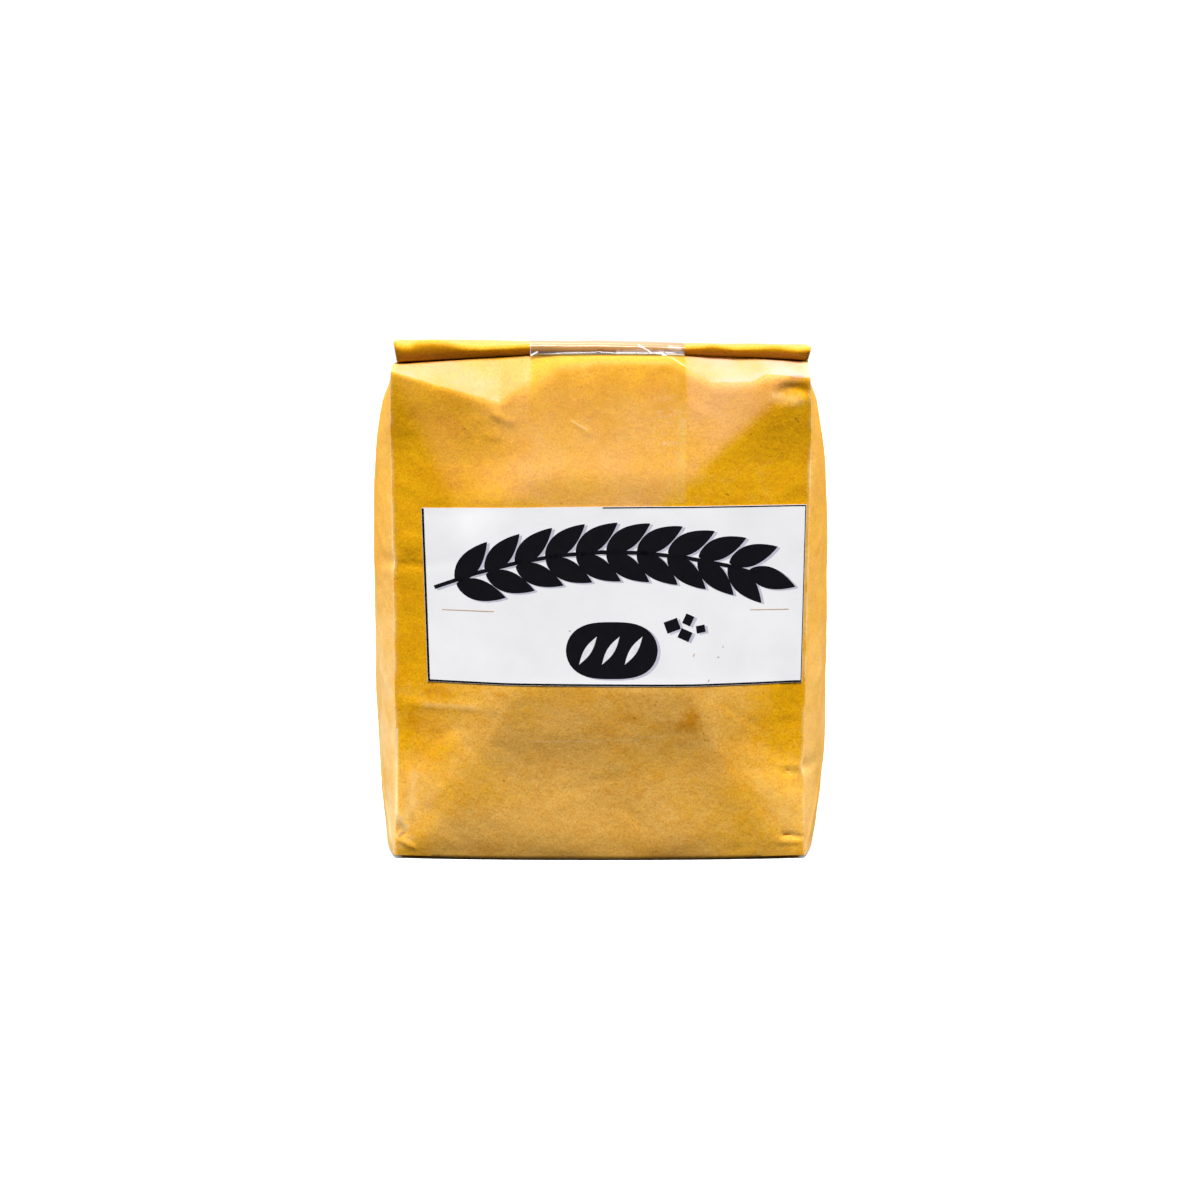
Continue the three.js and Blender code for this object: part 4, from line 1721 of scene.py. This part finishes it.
@dataclass(frozen=True)
class KraftPaper:
    """Brown kraft paper: cloudy, fibrous, lightly polished, with stains, specks, wear and painted light and
    shade.

    A run of fibres has a turn in radians, a fineness and a strength.
    """

    pale: Colour = (0.80, 0.462, 0.108, 1.0)
    deep: Colour = (0.77, 0.40, 0.002, 1.0)
    blotch: Colour = (0.93, 0.80, 0.42, 1.0)
    fibre: Colour = (0.90, 0.76, 0.55, 1.0)
    stain: Colour = (0.80, 0.62, 0.10, 1.0)
    dark: Colour = (0.30, 0.11, 0.008, 1.0)
    # The colour of painted shade, where the tone is below 0: under and on the roll, on the lower facet and
    # near the floor.
    painted_shade: Colour = (0.142, 0.074, 0.003, 1.0)
    # The two pale colours where the tone is above 0: painted light on faces turned to the light, and wear on
    # the folds. The second, at the fold edges and low down, also paints the highlight streaks.
    lightened: Colour = (0.86, 0.46, 0.34, 1.0)
    rubbed_and_lit: Colour = (0.93, 0.71, 0.37, 1.0)
    fibre_runs: tuple[tuple[float, float, float], ...] = (
        *((0.5, 900.0, 0.8), (-0.8, 760.0, 0.7), (1.4, 820.0, 0.6)),
    )
    roughness: float = 0.45
    # Painted highlights along creases, folds and crumples, with some wear on the fold edges.
    highlight_and_wear_marks: tuple[Mark, ...] = (
        Mark((-71.4, 33.0), (-74.0, 17.0), 2.6, 0.3, True),
        Mark((-78.4, 17.5), (-75.6, 12.6), 3.2, 0.55, True),
        Mark((-78.2, 4.2), (-73.5, 8.0), 3.0, 0.3, True),
        Mark((-67.0, 60.2), (-48.0, 59.6), 2.2, 0.34),
        Mark((-10.9, 169.6), (-4.8, 166.2), 0.7, 0.6),
        Mark((-26.4, 46.8), (0.0, 46.9), 0.6, 0.4),
        Mark((0.0, 46.7), (25.0, 49.2), 0.6, 0.36, True),
        Mark((66.0, 178.6), (75.0, 177.4), 4.0, 0.42, True),
        Mark((-78.6, 50.0), (-78.9, 18.0), 1.1, 0.8),
    )
    stains: tuple[Mark, ...] = (
        Mark((35.0, 57.0), (35.4, 53.4), 5.2, 1.0, True),
        Mark((30.4, 52.4), (34.6, 52.6), 3.8, 0.8, True),
        Mark((20.0, 52.8), (28.0, 52.6), 3.4, 0.35, True),
        Mark((10.0, 56.8), (14.4, 56.2), 2.8, 0.55, True),
        Mark((-4.5, 50.8), (5.0, 51.4), 4.2, 0.45, True),
        Mark((4.2, 65.2), (4.8, 64.6), 2.6, 0.55, True),
        Mark((24.3, 42.6), (24.8, 40.4), 2.0, 0.4, True),
        Mark((-39.0, 65.8), (-36.5, 64.6), 2.6, 0.42, True),
        Mark((-66.0, 66.0), (-60.0, 65.0), 5.0, 0.5, True),
        Mark((-73.0, 54.0), (-62.0, 50.0), 7.0, 0.45, True),
        Mark((67.0, 183.6), (78.0, 182.0), 3.6, 0.3, True),
        Mark((-70.0, 173.0), (-58.0, 169.0), 7.0, 0.35, True),
        Mark((-66.0, 150.0), (-58.0, 146.0), 9.0, 0.3, True),
        Mark((-18.0, 182.0), (-8.0, 178.0), 9.0, 0.35, True),
        Mark((-4.0, 172.0), (2.0, 184.0), 8.0, 0.3, True),
        Mark((18.0, 186.0), (24.0, 178.0), 7.0, 0.3, True),
    )
    specks: tuple[Mark, ...] = (
        # The first speck is painted shade in the pinch at the bottom-left corner; the others are specks of
        # dirt.
        Mark((-77.6, 9.0), (-76.0, 10.2), 1.4, 1.0),
        Mark((-51.6, 166.4), (-51.3, 166.3), 0.7, 0.8),
        Mark((48.0, 141.8), (48.8, 141.4), 0.5, 0.9),
        Mark((13.1, 56.2), (13.3, 56.0), 0.7, 0.9),
        Mark((21.6, 62.6), (21.8, 62.4), 0.6, 0.6),
        Mark((40.2, 47.4), (40.4, 47.2), 0.6, 0.7),
        Mark((69.5, 58.4), (69.7, 58.2), 0.7, 0.6),
        Mark((46.2, 22.3), (46.5, 22.0), 0.5, 0.5),
        Mark((-37.0, 31.4), (-36.8, 31.2), 0.7, 0.7),
        Mark((74.2, 170.4), (75.6, 168.8), 0.5, 0.8),
        Mark((-20.7, 67.8), (-20.4, 67.8), 0.5, 0.6),
        Mark((-7.2, 182.5), (-7.0, 182.3), 0.6, 0.6),
    )

    def cloud(self, g: Graph, place: Socket, scale: float, detail: float, levels: Pair) -> Socket:
        """Return noise at a scale, stretched between two levels."""
        return g.ramp(g.noise(place, scale, detail, 0.62), ((levels[0], 0.0), (levels[1], 1.0)))

    def ground(self, g: Graph, place: Socket, mottle: Socket) -> Socket:
        """Colour the bare paper, richer higher up and towards its edges, with pale blotches.

        Args:
            g: The material's graph.
            place: Position, in metres.
            mottle: The mask of its small blotches.

        Returns:
            The colour.
        """
        spots = g.add("SeparateXYZ", {"Vector": place}).outputs
        sideways = g.math("POWER", g.times(g.math("ABSOLUTE", spots["X"]), 12.0), 2.0)
        clouds, grainy = g.noise(place, 26.0, 4.0, 0.6), g.noise(place, 340.0, 5.0, 0.75)
        rich = g.plus(g.plus(sideways, g.times(spots["Z"], 6.4)), g.times(clouds, 2.2))
        rich = g.times(g.plus(rich, g.times(grainy, 1.1)), 0.3)
        colour = g.mix(g.ramp(rich, ((0.60, 0.0), (0.86, 1.0))), self.pale, self.deep)
        blotches = self.cloud(g, place, 62.0, 4.0, (0.48, 0.68))
        colour = g.tinted(g.times(blotches, 0.55), colour, self.blotch)
        return g.tinted(g.times(mottle, 0.36), colour, self.blotch)

    def fibrous(self, g: Graph, place: Socket, colour: Socket) -> Socket:
        """Lay the runs of short fibres and the fine pulp over a colour, and return it."""
        for turn, scale, strength in self.fibre_runs:
            settings = {"Vector": place, "Rotation": (0.0, turn, 0.0), "Scale": (1.0, 1.0, 0.4)}
            turned = g.add("Mapping", settings, vector_type="TEXTURE").outputs[0]
            hairs = g.ramp(g.noise(turned, scale, 2.0, bent=0.5), ((0.52, 0.0), (0.66, 1.0)))
            colour = g.tinted(g.times(hairs, strength), colour, self.fibre)
        pulp = g.ramp(g.noise(place, 1500.0, 3.0, 0.6), ((0.3, 0.9), (0.7, 1.17)))
        return g.tinted(1.0, colour, pulp)

    def dirtied(self, g: Graph, place: Socket, ragged: Socket, colour: Socket) -> Socket:
        """Lay the stains and the dark specks over a colour; one speck is painted shade in a pinch.

        Args:
            g: The material's graph.
            place: Position, in metres.
            ragged: The unsettled position.
            colour: The clean paper's colour.

        Returns:
            The colour.
        """
        colour = g.tinted(g.marked(place, ragged, self.stains), colour, self.stain)
        cells = g.add("TexVoronoi", {"Vector": place, "Scale": 260.0, "Randomness": 1.0})
        dots = g.ramp(cells.outputs["Distance"], ((0.05, 1.0), (0.11, 0.0)))
        dots = g.times(g.times(dots, self.cloud(g, place, 90.0, 1.0, (0.56, 0.64))), 0.6)
        return g.mix(g.most(dots, g.marked(place, ragged, self.specks)), colour, self.dark)

    def light_shade_and_wear(self, g: Graph, place: Socket, ragged: Socket, colour: Socket) -> Socket:
        """Paint light and wear on a colour where the tone is above 0, and shade where it is below 0.

        Args:
            g: The material's graph.
            place: Position, in metres.
            ragged: The unsettled position.
            colour: The paper's colour.

        Returns:
            The colour.
        """
        spots = g.add("SeparateXYZ", {"Vector": place}).outputs
        tone = g.add("Attribute", attribute_name="tone").outputs["Fac"]
        patchy = g.plus(g.times(self.cloud(g, place, 48.0, 3.0, (0.34, 0.66)), 0.7), 0.5)
        # Painted light and wear where the tone is above 0, in the second pale colour at the fold edges and
        # low down.
        at_side = g.step(g.math("ABSOLUTE", spots["X"]), 0.0772, 0.0788)
        low_down = g.step(spots["Z"], 0.07, 0.055)
        lightened = g.mix(g.most(at_side, low_down), self.lightened, self.rubbed_and_lit)
        colour = g.mix(g.times(g.most(tone, 0.0), patchy), colour, lightened)
        # Painted highlight streaks, with some wear.
        streaks = g.math("POWER", g.marked(place, ragged, self.highlight_and_wear_marks), 1.5)
        colour = g.mix(streaks, colour, self.rubbed_and_lit)
        # Painted shade where the tone is below 0.
        return g.mix(g.most(g.times(tone, -1.0), 0.0), colour, self.painted_shade)

    def build(self) -> Material:
        """Build the paper's material.

        Returns:
            The material.
        """
        g = Graph("kraft_paper")
        place = g.place()
        ragged = g.unsettled(place, 170.0, 4.0, 0.7, 0.009)
        mottle = self.cloud(g, place, 210.0, 4.0, (0.34, 0.66))
        clean = self.fibrous(g, place, self.ground(g, place, mottle))
        colour = self.light_shade_and_wear(g, place, ragged, self.dirtied(g, place, ragged, clean))
        height = g.plus(g.times(g.noise(place, 1400.0, 3.0, 0.6), 0.5), mottle)
        bump = g.add("Bump", {"Height": height, "Strength": 0.16, "Distance": 0.0006})
        rough = g.plus(g.times(mottle, 0.1), self.roughness)
        finish = {"Base Color": colour, "Roughness": rough, "Specular IOR Level": 0.15}
        return g.close(finish | {"Normal": bump.outputs[0]})


@dataclass(frozen=True)
class LabelPaper:
    """Bright white label paper with a slight gloss."""

    white: Colour = (0.93, 0.93, 0.955, 1.0)

    def build(self) -> Material:
        """Build the label's material.

        Returns:
            The material.
        """
        g = Graph("label_paper")
        place = g.place()
        mottle = g.noise(place, 60.0, 5.0, 0.6)
        colour = g.tinted(1.0, self.white, g.ramp(mottle, ((0.3, 0.94), (0.7, 1.0))))
        grain = g.noise(place, 900.0, 3.0)
        bump = g.add("Bump", {"Height": grain, "Strength": 0.05, "Distance": 0.0003})
        rough = g.plus(g.times(mottle, 0.2), 0.28)
        return g.close({"Base Color": colour, "Roughness": rough, "Normal": bump.outputs[0]})


@dataclass(frozen=True)
class Ink:
    """A printed colour with a slight gloss, a little uneven."""

    name: str
    colour: Colour
    roughness: float

    def build(self) -> Material:
        """Build the ink's material.

        Returns:
            The material.
        """
        g = Graph(self.name)
        mottle = g.noise(g.place(), 420.0, 3.0)
        colour = g.tinted(1.0, self.colour, g.ramp(mottle, ((0.3, 0.82), (0.7, 1.0))))
        rough = g.plus(g.times(mottle, 0.15), self.roughness)
        return g.close({"Base Color": colour, "Roughness": rough, "Specular IOR Level": 0.22})


INKS = {
    InkKind.SHADOW: Ink("ink_shadow", (0.60, 0.59, 0.70, 1.0), 0.4),
    InkKind.BLACK: Ink("ink_black", (0.003, 0.0026, 0.006, 1.0), 0.4),
    InkKind.WHITE: Ink("ink_white", (0.90, 0.90, 0.93, 1.0), 0.4),
    InkKind.DIRT: Ink("ink_scuff", (0.62, 0.36, 0.15, 1.0), 0.6),
}


@dataclass(frozen=True)
class ClearTape:
    """Clear packing tape: a glossy film that is milky where it has lifted off the paper.

    Over the roll its colour is painted in bands, from the crevice up: a painted reflection at the crevice,
    painted shade low on the roll's front and a paler film above.
    """

    film: Colour = (0.95, 0.84, 0.60, 1.0)
    glue: Colour = (0.80, 0.43, 0.012, 1.0)
    clear: Colour = (0.98, 0.72, 0.16, 1.0)
    over_roll: tuple[tuple[float, Colour], ...] = (
        (0.0, (0.60, 0.62, 0.74, 1.0)),
        (0.05, (0.12, 0.13, 0.18, 1.0)),
        (0.20, (0.06, 0.062, 0.09, 1.0)),
        (0.31, (0.23, 0.13, 0.06, 1.0)),
        (0.42, (0.48, 0.26, 0.088, 1.0)),
        (0.60, (0.50, 0.30, 0.14, 1.0)),
        (0.80, (0.86, 0.55, 0.32, 1.0)),
    )
    glints: tuple[Mark, ...] = (
        Mark((15.2, 197.6), (19.0, 195.0), 0.8, 1.0, True),
        Mark((21.6, 195.0), (25.4, 194.2), 0.6, 1.0, True),
        Mark((25.4, 194.3), (32.2, 194.1), 0.35, 0.6),
        Mark((-26.3, 194.0), (-24.0, 195.2), 0.6, 0.9),
        Mark((-26.6, 194.2), (-26.6, 199.0), 0.35, 0.5),
        Mark((26.5, 197.2), (30.5, 196.4), 1.3, 0.4, True),
        Mark((7.0, 195.2), (31.0, 195.2), 1.4, 0.28, True),
        Mark((27.2, 193.2), (32.3, 190.0), 0.45, 0.55),
        Mark((29.4, 191.2), (32.3, 190.6), 0.3, 0.3),
    )

    def build(self) -> Material:
        """Build the tape's material.

        Returns:
            The material.
        """
        g = Graph("clear_tape")
        place = g.place()
        at = g.add("SeparateXYZ", {"Vector": place}).outputs

        def window(axis: str, low: float, high: float, ease: float) -> Socket:
            """Return 1 between two places along an axis, in metres, and 0 beyond them."""
            above = g.step(at[axis], low - ease, low + ease)
            return g.times(above, g.step(at[axis], high + ease, high - ease))

        def stretched(scale: tuple[float, float, float]) -> Socket:
            """Return the position with its axes scaled."""
            return g.add("Mapping", {"Vector": place, "Scale": scale}).outputs[0]

        lines = g.noise(stretched((1.0, 1.0, 0.12)), 300.0, 3.0)
        bubbles = g.noise(stretched((0.45, 1.0, 1.0)), 520.0, 2.0, 0.6)
        front = window("Y", -0.08, 0.0, 0.001)
        lifted = g.times(window("X", 0.021, 0.031, 0.006), window("Z", 0.154, 0.176, 0.007))
        lifted = g.times(g.times(lifted, g.ramp(bubbles, ((0.50, 0.0), (0.62, 1.0)))), front)
        band = g.times(window("X", 0.0288, 0.034, 0.0012), window("Z", 0.142, 0.180, 0.014))
        band = g.times(g.times(band, front), g.noise(place, 60.0, 2.0))
        on_roll = window("Z", 0.1944, 0.21, 0.0003)
        soaked = g.times(g.ramp(g.noise(place, 75.0, 3.0), ((0.36, 0.0), (0.62, 1.0))), front)
        soaked = g.times(soaked, window("Z", 0.172, 0.1942, 0.006))
        shining = g.marked(place, g.unsettled(place, 420.0, 2.0, 0.5, 0.002), self.glints)
        colour = g.mix(soaked, self.clear, self.glue)
        # Over the roll: painted reflection and painted shade in bands up from the crevice.
        colour = g.mix(on_roll, colour, g.ramp(g.step(at["Z"], 0.1938, 0.1998), self.over_roll))
        colour = g.mix(shining, g.mix(lifted, colour, self.film), (1.0, 1.0, 1.0, 1.0))
        alpha = g.plus(g.times(lines, 0.07), 0.05)
        for mask, most in ((soaked, 0.4), (lifted, 0.3), (band, 0.9), (on_roll, 0.72), (shining, 1.0)):
            alpha = g.most(alpha, g.times(mask, most))
        bump = g.add("Bump", {"Height": g.plus(lines, bubbles), "Strength": 0.1, "Distance": 0.0006})
        facing = g.add("LayerWeight", {"Blend": 0.5, "Normal": bump.outputs[0]}).outputs["Facing"]
        grazing = g.times(g.math("POWER", facing, 7.0), 0.25)
        alpha = g.plus(alpha, g.times(grazing, on_roll))
        rough = g.math("SUBTRACT", 0.6, g.times(on_roll, 0.4))
        finish = {"Base Color": colour, "Roughness": rough, "Specular IOR Level": 0.35}
        return g.close(finish | {"Alpha": alpha, "Normal": bump.outputs[0]})


# --- The studio ------------------------------------------------------------------------------


@dataclass(frozen=True)
class Studio:
    """A pale floor, soft lights and the camera. Metres, except where named."""

    target: tuple[float, float, float] = (0.0, 0.0, 0.0963)
    distance: float = 1.0
    elevation: float = 7.0
    lens_mm: float = 75.4
    world: float = 0.2

    def camera(self) -> None:
        """Place the camera in front of the bag, a little above its middle."""
        angle = math.radians(self.elevation)
        back = Vector((0.0, -math.cos(angle), math.sin(angle)))
        data = bpy.data.cameras.new("camera")
        data.lens = self.lens_mm
        data.sensor_width = 36.0
        camera = bpy.data.objects.new("camera", data)
        camera.location = Vector(self.target) + back * self.distance
        camera.rotation_euler = (-back).to_track_quat("-Z", "Y").to_euler()
        bpy.context.collection.objects.link(camera)
        bpy.context.scene.camera = camera

    def light(self, name: str, place: tuple[float, float, float], size: Pair, power: float) -> None:
        """Add a soft rectangular light that shines at the bag.

        Args:
            name: The light's name.
            place: Its position.
            size: Its width and height.
            power: Its power in watts.
        """
        data = bpy.data.lights.new(name, "AREA")
        data.shape = "RECTANGLE"
        data.size, data.size_y = size
        data.energy = power
        light = bpy.data.objects.new(name, data)
        light.location = place
        light.rotation_euler = (Vector(self.target) - Vector(place)).to_track_quat("-Z", "Y").to_euler()
        bpy.context.collection.objects.link(light)

    def surroundings(self) -> bpy.types.World:
        """Build a white room, which lights the bag less strongly than it shows.

        Returns:
            The room.
        """
        world = bpy.data.worlds.new("white_room")
        world.use_nodes = True
        nodes, links = world.node_tree.nodes, world.node_tree.links
        shown = nodes.new("ShaderNodeLightPath")
        strength = nodes.new("ShaderNodeMapRange")
        strength.inputs["To Min"].default_value = self.world
        strength.inputs["To Max"].default_value = 1.05
        links.new(shown.outputs["Is Camera Ray"], strength.inputs["Value"])
        links.new(strength.outputs[0], nodes["Background"].inputs["Strength"])
        nodes["Background"].inputs["Color"].default_value = (1.0, 1.0, 1.0, 1.0)
        return world

    def build(self) -> None:
        """Build the floor, the surrounding white, the lights and the camera."""
        deselect_all()
        bpy.ops.mesh.primitive_plane_add(size=8.0)
        floor = bpy.context.object
        floor.name = "floor"
        g = Graph("floor_white")
        shown = g.add("LightPath").outputs["Is Camera Ray"]
        white = g.mix(shown, (0.03, 0.03, 0.03, 1.0), (0.97, 0.97, 0.97, 1.0))
        matt = g.close({"Base Color": white, "Roughness": 0.9, "Specular IOR Level": 0.1})
        floor.data.materials.append(matt)
        bpy.context.scene.world = self.surroundings()
        self.light("left_softbox", (-1.1, 0.3, 0.4), (0.6, 0.9), 15.5)
        self.light("right_softbox", (1.1, 0.3, 0.4), (0.6, 0.9), 14.5)
        self.light("back_softbox", (0.0, 1.0, 1.0), (1.6, 0.9), 5.0)
        sun = bpy.data.objects.new("key", bpy.data.lights.new("key", "SUN"))
        sun.data.energy = 6.0
        sun.data.angle = math.radians(24.0)
        sun.rotation_euler = (math.radians(25.0), 0.0, 0.0)
        bpy.context.collection.objects.link(sun)
        self.camera()
        bpy.context.scene.view_settings.view_transform = "Standard"


# --- Putting it together ---------------------------------------------------------------------


def finish_piece(piece: Piece, material: Material, node: str) -> None:
    """Dress a piece, fix it to the frame and report it.

    Args:
        piece: The finished object.
        material: Its finish.
        node: The CAD node that it stands for.
    """
    piece.data.materials.clear()
    piece.data.materials.append(material)
    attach(piece, "root")
    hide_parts(node)
    LOG.info("%s: %d faces", piece.name, len(piece.data.polygons))


def main() -> None:
    """Build the bag, dress it and light it."""
    logging.basicConfig(level=logging.INFO)
    Studio().build()
    kraft = KraftPaper().build()
    bag = PaperBag()
    roll = RolledTop()
    body = bag.build()
    finish_piece(body, kraft, "bag")
    for piece in (roll.build(), *GluedSheets().build(bag, body)):
        finish_piece(piece, kraft, "bag")
    label = PaperLabel()
    finish_piece(label.build(body), LabelPaper().build(), "label")
    for ink, piece in LabelPrint(label).build().items():
        finish_piece(piece, INKS[ink].build(), "label")
    tape = Strip().build(bag, roll)
    finish_piece(tape, ClearTape().build(), "tape")


if __name__ == "__main__":
    main()
